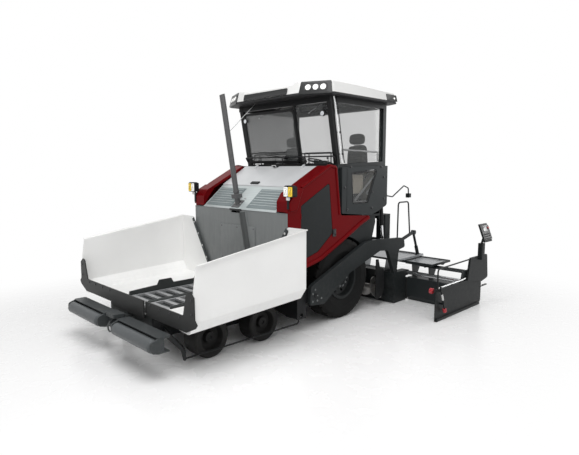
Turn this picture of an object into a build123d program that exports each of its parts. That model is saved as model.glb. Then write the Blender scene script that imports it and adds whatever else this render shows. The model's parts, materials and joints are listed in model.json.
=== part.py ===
from build123d import *
import os
from math import cos, hypot, radians, sin

# Wheeled asphalt paver. Millimetres. The front faces -Y, the machine's left is +X, +Z is up.
# The origin is on the ground, below the middle of the machine's overall length and width.
# Left-hand pieces are modelled, and right-hand ones are their mirror image about the YZ plane.
# Outlines are lists of (u, v) corners. A third value rounds that corner to its radius.

# ---- fits and gaps ----
RUN_GAP = 0.3          # radial gap of a pin or shaft in its bore, and of plates that seat
MOVE_GAP = 6           # gap between pieces that move past each other
SHEET = 12             # plate of the hopper and the frame's flat panels
PANEL = 50             # thickness of the tractor's side walls

# ---- driving places along the machine ----
FRONT_Y = -3300        # foremost face of the push rollers
REAR_Y = 3300          # tip of the end gates' rear handles
HOPPER_FRONT_Y = -2890
HOPPER_REAR_Y = -963   # rear face of the hopper wings' back plates
BULKHEAD_Y = -950      # front face of the tractor's front wall
REAR_AXLE_Y = 450
RAIL_REAR_Y = 1350     # rear end of the frame rails
SCREED_FRONT_Y = 1800
HALF_WIDTH = 1200      # outer faces of the tractor's side walls

# ---- frame ----
RAIL_IN = HALF_WIDTH / 2
RAIL_OUT = RAIL_IN + 30
RAIL_BOTTOM_Z, RAIL_TOP_Z, RAIL_REAR_TOP_Z = 300, 600, 1000
DECK_Z = 1000          # top of the engine deck, above the conveyor tunnel
CONVEYOR_FLOOR_Z = 580

# ---- wheels ----
REAR_R, REAR_W, REAR_OUT = 685, 385, HALF_WIDTH - 30
REAR_RIM_R = 330
FRONT_R, FRONT_W, FRONT_OUT = 280, 290, HALF_WIDTH - 120
BOGIE_Y = -1779
BOGIE_SPREAD = 476     # from the bogie's pivot to each wheel
KINGPIN_X = RAIL_OUT + 100

# ---- hopper ----
HINGE_X, HINGE_Z, HINGE_R = RAIL_OUT - 5, 640, 20
WING_X = 1610
WING_FLOOR_X = WING_X - 120
RAM_Y, RAM_R = BOGIE_Y, 35
RAM_FOOT, RAM_HEAD = (RAIL_OUT + 115, 430), (WING_X - 360, 590)

# ---- tractor body ----
HOOD_HALF = HALF_WIDTH - 250   # half width of the hood between the side frames
HOOD_SPLIT_Y, HOOD_SPLIT_Z = -500, 2265
HOOD_REAR_Y, HOOD_REAR_Z = 50, 2610
HOOD_FRONT_Z = 1900
PLATFORM_Z = 1750

# ---- cab ----
POST_X = HALF_WIDTH - 50
SILL_Z = 2640
ROOF_Z, ROOF_TOP_Z, ROOF_HALF = 3730, 3950, HALF_WIDTH + 110
ROOF_FRONT_Y, ROOF_REAR_Y = -300, 1850

# ---- screed ----
TOW_Y, TOW_Z = -380, 560
ARM_IN, ARM_OUT = HALF_WIDTH + 5, HALF_WIDTH + 75
SCREED_Z = 5           # underside of the screed plates
SCREED_HALF = ARM_OUT
SCREED_REAR_Y = SCREED_FRONT_Y + 430
SCREED_TOP_Z = 600
EXT_IN, EXT_OUT = SCREED_HALF + 15, 2 * HALF_WIDTH
EXT_FRONT_Y, EXT_REAR_Y, EXT_TOP_Z = SCREED_REAR_Y + 30, SCREED_REAR_Y + 430, 460
GUIDE_R, GUIDE_Y, GUIDE_Z = 40, SCREED_REAR_Y + 80, 540
WALK_Z, BORDER_H = 800, 40     # underside of the walkway, and its border's height
LIFT_X, LIFT_R = HALF_WIDTH - 110, 38
LIFT_TOP, LIFT_FOOT = (1600, 1920), (1682, 1220)


def block(x, y, z, mode=Mode.ADD):
    """A box that fills the spans x, y and z, each given as (low, high)."""
    with Locations((sum(x) / 2, sum(y) / 2, sum(z) / 2)):
        Box(x[1] - x[0], y[1] - y[0], z[1] - z[0], mode=mode)


def bar(start, end, radius, mode=Mode.ADD):
    """A round bar between two points."""
    run = Vector(*end) - Vector(*start)
    with BuildSketch(Plane(origin=start, z_dir=run)) as disc:
        Circle(radius)
    extrude(disc.sketch, amount=run.length, dir=run.normalized(), mode=mode)


def outline(plane, points):
    """The flat face inside an outline, with the corners rounded that carry a radius."""
    with BuildSketch(plane) as face:
        Polygon(*[p[:2] for p in points], align=None)
        for u, v, radius in [p for p in points if len(p) == 3]:
            fillet(face.vertices().sort_by_distance((u, v))[0], radius)
    return face.sketch


def side_plate(points, x, mode=Mode.ADD):
    """A plate that stands along the machine: its outline is (y, z) points and it fills the span x."""
    extrude(outline(Plane.YZ.offset(x[0]), points), amount=x[1] - x[0], dir=(1, 0, 0), mode=mode)


def cross_plate(points, y, mode=Mode.ADD):
    """A plate that stands across the machine: its outline is (x, z) points and it fills the span y."""
    extrude(outline(Plane.XZ.offset(-y[0]), points), amount=y[1] - y[0], dir=(0, 1, 0), mode=mode)


def flat_plate(points, z, mode=Mode.ADD):
    """A plate that lies flat: its outline is (x, y) points and it fills the span z."""
    extrude(outline(Plane.XY.offset(z[0]), points), amount=z[1] - z[0], dir=(0, 0, 1), mode=mode)


def bent_tube(points, bend, radius):
    """A round tube that follows points, with its corners rounded to bend."""
    with BuildLine() as route:
        FilletPolyline(*points, radius=bend)
    with BuildSketch(Plane(origin=route.line @ 0, z_dir=route.line % 0)) as disc:
        Circle(radius)
    sweep(disc.sketch, path=route.line)


def turned(profile, y, z):
    """A solid turned about the line along X at (y, z). The profile is (x, radius) points."""
    with BuildSketch(Plane.XZ.offset(-y)) as half:
        Polygon(*[(x, z + r) for x, r in profile], align=None)
    revolve(half.sketch, axis=Axis((0, y, z), (1, 0, 0)))


def keep(shape, name):
    shape.label = name
    export_step(shape, f"parts/{name}.step")


def keep_pair(shape, name):
    """Writes a left-hand piece, and its mirror image as the right-hand one."""
    keep(shape, f"{name}_left")
    with BuildPart() as right:
        mirror(shape, about=Plane.YZ)
    keep(right.part, f"{name}_right")


os.makedirs("parts", exist_ok=True)

# =====================================================================================
# Frame
# =====================================================================================
TOWER_FRONT_Y, TOWER_REAR_Y, TOWER_BOTTOM_Z, TOWER_TOP_Z = -730, -530, 215, 950
TOWER_PLATE = 20
TOW_PIN_R = 40
LASHING_Y, LASHING_Z, LASHING_R = -630, 275, 35
OUTRIGGER_Y = HOPPER_FRONT_Y + 130
GUARD_X, GUARD_Z, GUARD_R = HALF_WIDTH - 30, 150, 12
LUG_HALF = 10          # half thickness of the hinge lugs on the rails
hinge_lugs_y = [HOPPER_FRONT_Y + 52, (HOPPER_FRONT_Y + HOPPER_REAR_Y) / 2, HOPPER_REAR_Y - 60]

with BuildPart() as frame_rails:
    side_plate(
        [
            (-2880, 400, 20), (-2880, RAIL_TOP_Z), (BULKHEAD_Y + 20, RAIL_TOP_Z),
            (BULKHEAD_Y + 20, RAIL_REAR_TOP_Z), (RAIL_REAR_Y - 150, RAIL_REAR_TOP_Z), (RAIL_REAR_Y, 760, 60),
            (RAIL_REAR_Y, 360, 30), (RAIL_REAR_Y - 200, RAIL_BOTTOM_Z, 60), (-2700, RAIL_BOTTOM_Z, 60),
        ],
        (RAIL_IN, RAIL_OUT),
    )
    # outrigger tower that carries the tow pin: two gussets, an outer plate with a lashing eye, a floor
    for y in (TOWER_FRONT_Y, TOWER_REAR_Y - 15):
        cross_plate(
            [
                (RAIL_OUT, 310), (RAIL_OUT, 560), (HALF_WIDTH - 230, 440, 80), (HALF_WIDTH - 100, 700, 80),
                (HALF_WIDTH - 80, TOWER_TOP_Z), (HALF_WIDTH - TOWER_PLATE, TOWER_TOP_Z),
                (HALF_WIDTH - TOWER_PLATE, TOWER_BOTTOM_Z + 10), (HALF_WIDTH - 230, TOWER_BOTTOM_Z + 10, 60),
            ],
            (y, y + 15),
        )
    block((RAIL_OUT, HALF_WIDTH - 190), (TOWER_FRONT_Y, TOWER_REAR_Y), (420, 435))
    side_plate(
        [
            (TOWER_FRONT_Y, TOWER_BOTTOM_Z, 25), (TOWER_FRONT_Y, TOWER_TOP_Z, 40),
            (TOWER_REAR_Y, TOWER_TOP_Z, 40),
            (TOWER_REAR_Y, TOWER_BOTTOM_Z, 25),
        ],
        (HALF_WIDTH - TOWER_PLATE, HALF_WIDTH),
    )
    bar((HALF_WIDTH - 60, LASHING_Y, LASHING_Z), (HALF_WIDTH + 10, LASHING_Y, LASHING_Z),
        LASHING_R, mode=Mode.SUBTRACT)
    # tongue with the tow pin, and the plate that guides the arm's foot
    side_plate(
        [(TOWER_REAR_Y, 440), (TOWER_REAR_Y, 690), (TOW_Y + 60, 640, 60), (TOW_Y + 60, 480, 60)],
        (HALF_WIDTH - 70, HALF_WIDTH - MOVE_GAP),
    )
    bar((HALF_WIDTH - 70, TOW_Y, TOW_Z), (ARM_OUT + 8, TOW_Y, TOW_Z), TOW_PIN_R)
    # hinge lugs and pins for the hopper wing
    for y in hinge_lugs_y:
        block((RAIL_IN, RAIL_OUT), (y - LUG_HALF, y + LUG_HALF), (RAIL_TOP_Z, HINGE_Z + 18))
        bar((HINGE_X, y - 48, HINGE_Z), (HINGE_X, y + 48, HINGE_Z), 12)
    # ears and pin that carry the foot of the hopper cylinder
    for y in (RAM_Y - 51, RAM_Y + 41):
        cross_plate(
            [(RAIL_OUT, 400), (RAM_FOOT[0] + 30, 400, 25), (RAM_FOOT[0] + 30, 460, 25), (RAIL_OUT, 480)],
            (y, y + 10),
        )
    bar((RAM_FOOT[0], RAM_Y - 51, RAM_FOOT[1]), (RAM_FOOT[0], RAM_Y + 51, RAM_FOOT[1]), 14)
    # outrigger and low guard bar beside the front wheels
    cross_plate(
        [
            (RAIL_OUT, 345), (RAIL_OUT, 460), (HALF_WIDTH - 60, 300, 60), (HALF_WIDTH - 10, 240, 20),
            (HALF_WIDTH - 10, GUARD_Z - 25, 15), (HALF_WIDTH - 55, GUARD_Z - 25, 15),
            (HALF_WIDTH - 110, 240, 60),
        ],
        (OUTRIGGER_Y, OUTRIGGER_Y + 18),
    )
    bent_tube(
        [
            (GUARD_X, OUTRIGGER_Y + 9, GUARD_Z), (GUARD_X, TOWER_FRONT_Y + 60, GUARD_Z),
            (GUARD_X, TOWER_FRONT_Y + 60, TOWER_BOTTOM_Z + 40),
        ],
        40, GUARD_R,
    )
    block((GUARD_X - 12, HALF_WIDTH - TOWER_PLATE), (TOWER_FRONT_Y + 40, TOWER_FRONT_Y + 80),
          (TOWER_BOTTOM_Z + 10, TOWER_BOTTOM_Z + 60))
    mirror(about=Plane.YZ)

# =====================================================================================
# Conveyors: two loops of chain with cross slats, on sprocket shafts
# =====================================================================================
LOOP_FRONT_Y, LOOP_REAR_Y = -2760, RAIL_REAR_Y - 110
LOOP_TOP_Z, LOOP_BOTTOM_Z = 632, 440
LOOP_R, LOOP_Z = (LOOP_TOP_Z - LOOP_BOTTOM_Z) / 2, (LOOP_TOP_Z + LOOP_BOTTOM_Z) / 2
CHAIN_W, CHAIN_H = 40, 40
SLAT_PITCH, SLAT_W, SLAT_H = 200, 70, 32
conveyor_spans = [(40 - RAIL_IN, -30), (30, RAIL_IN - 40)]
shaft_places = (LOOP_FRONT_Y + LOOP_R, LOOP_REAR_Y - LOOP_R)
slats = int((shaft_places[1] - shaft_places[0]) / SLAT_PITCH)

with BuildPart() as conveyors:
    for low, high in conveyor_spans:
        for x in (low, high - CHAIN_W):
            with BuildSketch(Plane.YZ.offset(x)):
                with Locations(((LOOP_FRONT_Y + LOOP_REAR_Y) / 2, LOOP_Z)):
                    SlotOverall(LOOP_REAR_Y - LOOP_FRONT_Y, 2 * LOOP_R)
                    SlotOverall(LOOP_REAR_Y - LOOP_FRONT_Y - 2 * CHAIN_H, 2 * (LOOP_R - CHAIN_H),
                                mode=Mode.SUBTRACT)
            extrude(amount=CHAIN_W)
            for y in shaft_places:
                bar((x + 10, y, LOOP_Z), (x + CHAIN_W - 10, y, LOOP_Z), LOOP_R - CHAIN_H + 1)
        with BuildSketch(Plane.YZ.offset(low)):
            for z in (LOOP_TOP_Z - SLAT_H / 2, LOOP_BOTTOM_Z + SLAT_H / 2):
                for i in range(slats):
                    with Locations((shaft_places[0] + (i + 0.5) * SLAT_PITCH, z)):
                        Rectangle(SLAT_W, SLAT_H)
        extrude(amount=high - low)
    for y in shaft_places:
        bar((-RAIL_IN, y, LOOP_Z), (RAIL_IN, y, LOOP_Z), 28)

LUMP_Z = 790
with BuildPart() as tunnel_plates:
    # floor that the slats scrape along, open at both ends for the sprockets
    block((-RAIL_IN, RAIL_IN), (shaft_places[0] + 62, shaft_places[1] - 62),
        (CONVEYOR_FLOOR_Z, CONVEYOR_FLOOR_Z + SHEET))
    # front cross members
    block((-RAIL_IN, RAIL_IN), (-2880, -2860), (360, RAIL_TOP_Z))
    block((-RAIL_IN, RAIL_IN), (-2880, -2840), (CONVEYOR_FLOOR_Z - 30, CONVEYOR_FLOOR_Z + SHEET))
    # upstands beside the conveyors, with two raised lumps, and the guard between the chains
    for x in (2 - RAIL_IN, RAIL_IN - SHEET - 2):
        side_plate(
            [
                (-2600, 592), (-2600, 690, 15), (-2120, 715, 20), (-2080, LUMP_Z, 15), (-1860, LUMP_Z, 15),
                (-1820, 715, 20), (-1420, 715, 20), (-1380, LUMP_Z, 15), (-1160, LUMP_Z, 15),
                (-1120, 715, 20),
                (HOPPER_REAR_Y - 45, 715), (HOPPER_REAR_Y - 45, 592),
            ],
            (x, x + SHEET),
        )
    cross_plate(
        [(-22, 592), (-22, 640), (0, 662), (22, 640), (22, 592)],
        (shaft_places[0] + 62, shaft_places[1] - 62),
    )
    # ears of the push beam's pivot
    for z in (390, 500):
        with BuildSketch(Plane.XY.offset(z)):
            with Locations((0, -2915)):
                Rectangle(120, 70)
            with Locations((0, -2950)):
                Circle(60)
            with Locations((0, -2950)):
                Circle(30 + RUN_GAP, mode=Mode.SUBTRACT)
        extrude(amount=30)
    # roof of the tunnel, which is the deck that carries the engine
    block((-RAIL_IN, RAIL_IN), (BULKHEAD_Y + SHEET, 1200), (DECK_Z - SHEET, DECK_Z))

with BuildPart() as engine:
    block((-RAIL_IN + 180, RAIL_IN - 180), (-560, 90), (DECK_Z, 1680))

# =====================================================================================
# Front wall of the tractor, above the conveyor tunnel
# =====================================================================================
DUCT_R = 75
duct_top, duct_foot = (170, BULKHEAD_Y + 5, HOOD_FRONT_Z - 40), (362, BULKHEAD_Y + 5, 1010)

with BuildPart() as bulkhead:
    cross_plate(
        [
            (-HALF_WIDTH, 1000), (-HALF_WIDTH, HOOD_FRONT_Z), (HALF_WIDTH, HOOD_FRONT_Z), (HALF_WIDTH, 1000),
            (RAIL_OUT + 4, 660), (RAIL_IN, 660), (RAIL_IN, 930, 60), (-RAIL_IN, 930, 60), (-RAIL_IN, 660),
            (-RAIL_OUT - 4, 660),
        ],
        (BULKHEAD_Y, BULKHEAD_Y + SHEET),
    )
    block((-HALF_WIDTH, HALF_WIDTH), (BULKHEAD_Y - 4, BULKHEAD_Y + 14), (HOOD_FRONT_Z - 10, HOOD_FRONT_Z))
    # the half-round duct that slants down the wall, and the slot handle beside its top
    bar(duct_top, duct_foot, DUCT_R)
    block((0, HALF_WIDTH), (BULKHEAD_Y + SHEET, BULKHEAD_Y + 200), (900, HOOD_FRONT_Z), mode=Mode.SUBTRACT)
    with BuildSketch(Plane.XZ.offset(-BULKHEAD_Y)):
        with Locations((-30, HOOD_FRONT_Z - 42)):
            SlotOverall(230, 34)
    extrude(amount=SHEET, dir=(0, 1, 0), mode=Mode.SUBTRACT)

# =====================================================================================
# Side frames: the rounded body sides with the service door openings
# =====================================================================================
SHOULDER_Z = 2075
SHOULDER_OUT = 55      # how far the shoulders stand out from the side walls
DOOR_FRONT_Y = -650
DOOR_GAP, DOOR_BEVEL = 6, 4
EDGE_R = 14
side_profile = [
    (-935, 1012, 20), (-935, SHOULDER_Z, 60), (-845, 2195, 60), (20, 2640, 70), (190, 2612, 40),
    (300, 1790, 60),
    (1150, 1735, 8), (860, 1655, 60), (300, 1385, 300), (-230, 1085, 250), (-560, 1020, 80),
]
rail_profile = [
    (-935, HOOD_FRONT_Z + 12), (-935, SHOULDER_Z, 60), (-845, 2195, 60), (-30, 2614), (-30, 2565),
    (HOOD_SPLIT_Y - 200, 2215),
]
shoulder_profile = [
    (-935, 1935, 20), (-935, SHOULDER_Z, 60), (-845, 2195, 60), (-620, 2311, 30), (-700, 2140, 80),
    (-780, 1935, 30),
]
door_corners = [
    (DOOR_FRONT_Y, 2000, 30), (12, 2345, 40), (105, 1516, 60), (-256, 1242, 120), (-500, 1175, 80),
    (DOOR_FRONT_Y, 1168, 30),
]

with BuildPart() as side_frames:
    side_plate(side_profile, (HALF_WIDTH - PANEL, HALF_WIDTH))
    side_plate(shoulder_profile, (HALF_WIDTH - PANEL, HALF_WIDTH + SHOULDER_OUT))
    shoulder = (HALF_WIDTH + 1, HALF_WIDTH + SHOULDER_OUT + 1)
    fillet(side_frames.edges().filter_by_position(Axis.X, *shoulder), EDGE_R)
    # the top rail, which carries the hood's edge
    side_plate(rail_profile, (HOOD_HALF + 6, HALF_WIDTH - PANEL))
    side_plate(door_corners, (HALF_WIDTH - PANEL, HALF_WIDTH), mode=Mode.SUBTRACT)
    for z in (1300, 1800):
        bar((HALF_WIDTH, DOOR_FRONT_Y, z), (HALF_WIDTH, DOOR_FRONT_Y, z + 80),
            hypot(DOOR_GAP, DOOR_BEVEL) - RUN_GAP)
    mirror(about=Plane.YZ)

# the service doors swing about a vertical hinge line at their front edge
with BuildPart() as side_door:
    with BuildSketch(Plane.YZ.offset(HALF_WIDTH - 30)):
        add(outline(Plane.XY, door_corners))
        offset(amount=-DOOR_GAP, mode=Mode.REPLACE)
    extrude(amount=30)
    chamfer(side_door.faces().sort_by(Axis.X)[-1].edges(), DOOR_BEVEL)

# =====================================================================================
# Hood and exhaust
# =====================================================================================
HOOD_SHEET = 8
FLANGE = 45
STACK_X, STACK_R, STACK_WALL = -78, 45, 4
STACK_BASE_V = 120     # up the slope of the lower hood to where the stack comes through it
stack_foot, stack_head = (STACK_X, -830, 1830), (STACK_X, -1160, 3790)
stack_run = (Vector(*stack_head) - Vector(*stack_foot)).normalized()
LOUVRE_ROWS, LOUVRE_PITCH, LOUVRE_H = 7, 58, 24
LOUVRE_W = HOOD_HALF - 310
HINGE_PIN_R, KNUCKLE_R = 6, 14
HOOD_AXIS_Y, HOOD_AXIS_Z = HOOD_REAR_Y + 15, HOOD_REAR_Z + 25
hood_hinges_x = (350 - HOOD_HALF, HOOD_HALF - 350)

lower_slope = Vector(0, HOOD_SPLIT_Y - MOVE_GAP - BULKHEAD_Y - 2, HOOD_SPLIT_Z - HOOD_FRONT_Z).normalized()
lower_hood_plane = Plane(
    origin=(0, BULKHEAD_Y + 2, HOOD_FRONT_Z), x_dir=(1, 0, 0), z_dir=Vector(1, 0, 0).cross(lower_slope),
)
louvre_places = [
    (side * (HOOD_HALF * 0.58), 105 + row * LOUVRE_PITCH) for side in (-1, 1) for row in range(LOUVRE_ROWS)
]


def stack_point(along):
    """A point of the exhaust stack's axis, measured from its foot."""
    return tuple(Vector(*stack_foot) + stack_run * along)


with BuildPart() as hood_front:
    side_plate(
        [
            (BULKHEAD_Y + 2, HOOD_FRONT_Z), (HOOD_SPLIT_Y - MOVE_GAP, HOOD_SPLIT_Z),
            (HOOD_SPLIT_Y - MOVE_GAP, HOOD_SPLIT_Z - 20), (BULKHEAD_Y + 25, HOOD_FRONT_Z),
        ],
        (-HOOD_HALF, HOOD_HALF),
    )
    for x in (-HOOD_HALF, HOOD_HALF - HOOD_SHEET):
        side_plate(
            [
                (BULKHEAD_Y + 25, HOOD_FRONT_Z), (HOOD_SPLIT_Y - MOVE_GAP, HOOD_SPLIT_Z - 10),
                (HOOD_SPLIT_Y - MOVE_GAP, HOOD_SPLIT_Z - FLANGE - 20), (BULKHEAD_Y + 80, HOOD_FRONT_Z),
            ],
            (x, x + HOOD_SHEET),
        )
    # cooling slots, each with a raised lip along its upper edge
    with BuildSketch(lower_hood_plane):
        with Locations(*louvre_places):
            Rectangle(LOUVRE_W, LOUVRE_H)
    extrude(amount=30, both=True, mode=Mode.SUBTRACT)
    with BuildSketch(lower_hood_plane):
        for x, v in louvre_places:
            with Locations((x, v + LOUVRE_H / 2 + 5)):
                Rectangle(LOUVRE_W, 10)
    extrude(amount=10)
    bar(stack_foot, stack_head, STACK_R + RUN_GAP, mode=Mode.SUBTRACT)

with BuildPart() as engine_hood:
    rear_edge_y = HOOD_REAR_Y - MOVE_GAP
    side_plate(
        [
            (HOOD_SPLIT_Y, HOOD_SPLIT_Z + 20), (rear_edge_y, HOOD_REAR_Z),
            (rear_edge_y, HOOD_REAR_Z - HOOD_SHEET),
            (HOOD_SPLIT_Y, HOOD_SPLIT_Z + 20 - HOOD_SHEET),
        ],
        (-HOOD_HALF, HOOD_HALF),
    )
    for x in (-HOOD_HALF, HOOD_HALF - HOOD_SHEET):
        side_plate(
            [
                (HOOD_SPLIT_Y, HOOD_SPLIT_Z + 18), (rear_edge_y, HOOD_REAR_Z - 2),
                (rear_edge_y, HOOD_REAR_Z - FLANGE),
                (HOOD_SPLIT_Y, HOOD_SPLIT_Z + 20 - FLANGE),
            ],
            (x, x + HOOD_SHEET),
        )
    block((-HOOD_HALF, HOOD_HALF), (HOOD_SPLIT_Y, HOOD_SPLIT_Y + HOOD_SHEET),
        (HOOD_SPLIT_Z - 20, HOOD_SPLIT_Z + 16))
    # leaves and knuckles of the two hinges at the rear edge
    for x in hood_hinges_x:
        side_plate(
            [
                (HOOD_REAR_Y - 80, HOOD_REAR_Z - 44), (HOOD_REAR_Y - 40, HOOD_REAR_Z - 22),
                (HOOD_AXIS_Y - 9, HOOD_AXIS_Z - 10.5), (HOOD_AXIS_Y, HOOD_AXIS_Z + KNUCKLE_R - 1),
                (HOOD_AXIS_Y - 15, HOOD_AXIS_Z + 8), (HOOD_REAR_Y - 80, HOOD_REAR_Z - 22),
            ],
            (x - 24, x + 24),
        )
        bar((x - 24, HOOD_AXIS_Y, HOOD_AXIS_Z), (x + 24, HOOD_AXIS_Y, HOOD_AXIS_Z), KNUCKLE_R)
        bar((x - 24, HOOD_AXIS_Y, HOOD_AXIS_Z), (x + 24, HOOD_AXIS_Y, HOOD_AXIS_Z), HINGE_PIN_R + RUN_GAP,
            mode=Mode.SUBTRACT)

# the exhaust stack leans forward, and its open top is cut on the slant
with BuildPart() as exhaust_stack:
    bar(stack_foot, stack_head, STACK_R)
    with Locations((lower_hood_plane.offset(RUN_GAP) * Location((STACK_X, STACK_BASE_V, 5)))):
        Box(190, 170, 10)
    with Locations(Plane(origin=stack_point(285), x_dir=(1, 0, 0), z_dir=stack_run).location):
        Box(150, 112, 64)
    bar(stack_point(350), stack_point(380), STACK_R + 8)
    bar(stack_point(500), stack_head, STACK_R - STACK_WALL, mode=Mode.SUBTRACT)
    top_y, top_z = stack_head[1], stack_head[2]
    side_plate(
        [(top_y - 90, top_z - 90), (top_y + 90, top_z - 10), (top_y + 90, top_z + 60),
            (top_y - 90, top_z + 60)],
        (STACK_X - 60, STACK_X + 60), mode=Mode.SUBTRACT,
    )

# =====================================================================================
# Lamp housings on the shoulders, each with two lens pockets
# =====================================================================================
LAMP_X, LAMP_Y, LAMP_Z = HALF_WIDTH + 60, -940, 2230
LAMP_W, LAMP_D, LAMP_H = 190, 100, 160
with BuildPart() as headlamps:
    with Locations((LAMP_X, LAMP_Y, LAMP_Z)):
        Box(LAMP_W, LAMP_D, LAMP_H)
    fillet(headlamps.edges().filter_by(Axis.Y), 22)
    for x in (LAMP_X - LAMP_W / 4, LAMP_X + LAMP_W / 4):
        with Locations((x, LAMP_Y - LAMP_D / 2, LAMP_Z)):
            Box(LAMP_W / 2 - 20, 40, LAMP_H - 30, mode=Mode.SUBTRACT)
    # strap down the front face of the shoulder
    block((HALF_WIDTH - 10, HALF_WIDTH + 35), (-945 - RUN_GAP, -935 - RUN_GAP),
        (1965, LAMP_Z - LAMP_H / 2 + 5))
    mirror(about=Plane.YZ)

# =====================================================================================
# Operator's platform
# =====================================================================================
SEAT_X, SEAT_Y, SEAT_Z = HALF_WIDTH - 375, 940, 2330
BAY_WALL_Z = REAR_R * 2 + 60
with BuildPart() as platform:
    block((-POST_X, POST_X), (120, 1480), (PLATFORM_Z - 40, PLATFORM_Z))
    # wall between the engine bay and the platform
    block((50 - POST_X, POST_X - 50), (100, 120), (BAY_WALL_Z, 2590))
    block((45 - REAR_OUT + REAR_W, REAR_OUT - REAR_W - 45), (100, 120), (DECK_Z, BAY_WALL_Z))
    # cowl behind the hood, with the lugs and pins of the hood's hinges
    block((10 - HOOD_HALF, HOOD_HALF - 10), (HOOD_REAR_Y, 100), (2560, 2604))
    for x in hood_hinges_x:
        for low in (x - 60, x + 30):
            side_plate(
                [(HOOD_REAR_Y + 5, 2604), (HOOD_REAR_Y + 5, HOOD_AXIS_Z + 5, 8),
                    (HOOD_AXIS_Y + 14, HOOD_AXIS_Z + 13, 8),
                 (HOOD_AXIS_Y + 22, 2604)],
                (low, low + 30),
            )
        bar((x - 60, HOOD_AXIS_Y, HOOD_AXIS_Z), (x + 60, HOOD_AXIS_Y, HOOD_AXIS_Z), HINGE_PIN_R)
    # pedestals down to the frame, and the seats' pedestals
    for x in (-RAIL_IN, RAIL_IN - 60):
        block((x, x + 60), (700, 1200), (DECK_Z, PLATFORM_Z - 40))
    with BuildSketch(Plane.XY.offset(PLATFORM_Z)):
        with Locations((-SEAT_X, SEAT_Y), (SEAT_X, SEAT_Y)):
            RectangleRounded(420, 420, 50)
    extrude(amount=SEAT_Z - PLATFORM_Z, taper=4)

# =====================================================================================
# Cab
# =====================================================================================
PILLAR, POST_W = 70, 90
FRONT_FOOT_Y, FRONT_HEAD_Y = 270, 60
REAR_POST_Y = (1540, 1630)
BEAM_Z = (3640, ROOF_Z)
MULLION_X = 305        # the slim post between the wide and the narrow windscreen
screen_rise = Vector(0, FRONT_HEAD_Y - FRONT_FOOT_Y, ROOF_Z - SILL_Z).normalized()
screen_plane = Plane(
    origin=(0, FRONT_FOOT_Y, SILL_Z), x_dir=(1, 0, 0), z_dir=Vector(1, 0, 0).cross(screen_rise),
)
WIDE_X, WIDE_W = (MULLION_X - POST_X + 75) / 2, MULLION_X + POST_X - 75
SCREEN_V, SCREEN_H, SCREEN_BAR = 500, 950, 45
front_post = [
    (FRONT_FOOT_Y, SILL_Z), (FRONT_HEAD_Y, ROOF_Z), (FRONT_HEAD_Y + PILLAR, ROOF_Z),
    (FRONT_FOOT_Y + PILLAR, SILL_Z),
]

with BuildPart() as cab_frame:
    side_plate(front_post, (POST_X - POST_W, POST_X))
    side_plate(
        [(FRONT_FOOT_Y, 2560), (FRONT_FOOT_Y, SILL_Z), (FRONT_FOOT_Y + PILLAR, SILL_Z + 3),
            (REAR_POST_Y[1], SILL_Z + 60),
         (REAR_POST_Y[1], SILL_Z - 20)],
        (POST_X - POST_W, POST_X),
    )
    block((POST_X - POST_W, POST_X), REAR_POST_Y, (1975, ROOF_Z))
    block((POST_X - POST_W, POST_X), (FRONT_HEAD_Y, REAR_POST_Y[1]), BEAM_Z)
    block((0, POST_X - POST_W), (FRONT_HEAD_Y + 5, FRONT_HEAD_Y + 75), BEAM_Z)
    block((0, POST_X - POST_W), REAR_POST_Y, BEAM_Z)
    block((0, POST_X - POST_W), (FRONT_FOOT_Y, FRONT_FOOT_Y + 40), (2600, SILL_Z))
    # lamp arms that reach out over the screed
    bent_tube(
        [
            (POST_X - 35, REAR_POST_Y[1] - 10, 2080), (POST_X - 35, 1940, 2035), (POST_X - 35, 2330, 2235),
            (POST_X - 35, 2490, 2185), (POST_X - 35, 2498, 2070),
        ],
        45, 12,
    )
    block((POST_X - 65, POST_X - 5), (REAR_POST_Y[1], REAR_POST_Y[1] + 90), (2050, 2110))
    block((POST_X - 75, POST_X + 5), (2465, 2535), (2000, 2080))
    mirror(about=Plane.YZ)
    side_plate(
        [(y + 8, z) for y, z in front_post[:2]] + [(y + 48, z) for y, z in front_post[1::-1]],
        (MULLION_X - 20, MULLION_X + 20),
    )
    # frame of the wide windscreen
    with BuildSketch(screen_plane):
        with Locations((WIDE_X, SCREEN_V)):
            RectangleRounded(WIDE_W, SCREEN_H, 110)
            RectangleRounded(WIDE_W - 2 * SCREEN_BAR, SCREEN_H - 2 * SCREEN_BAR, 70, mode=Mode.SUBTRACT)
    extrude(amount=-24)

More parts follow.
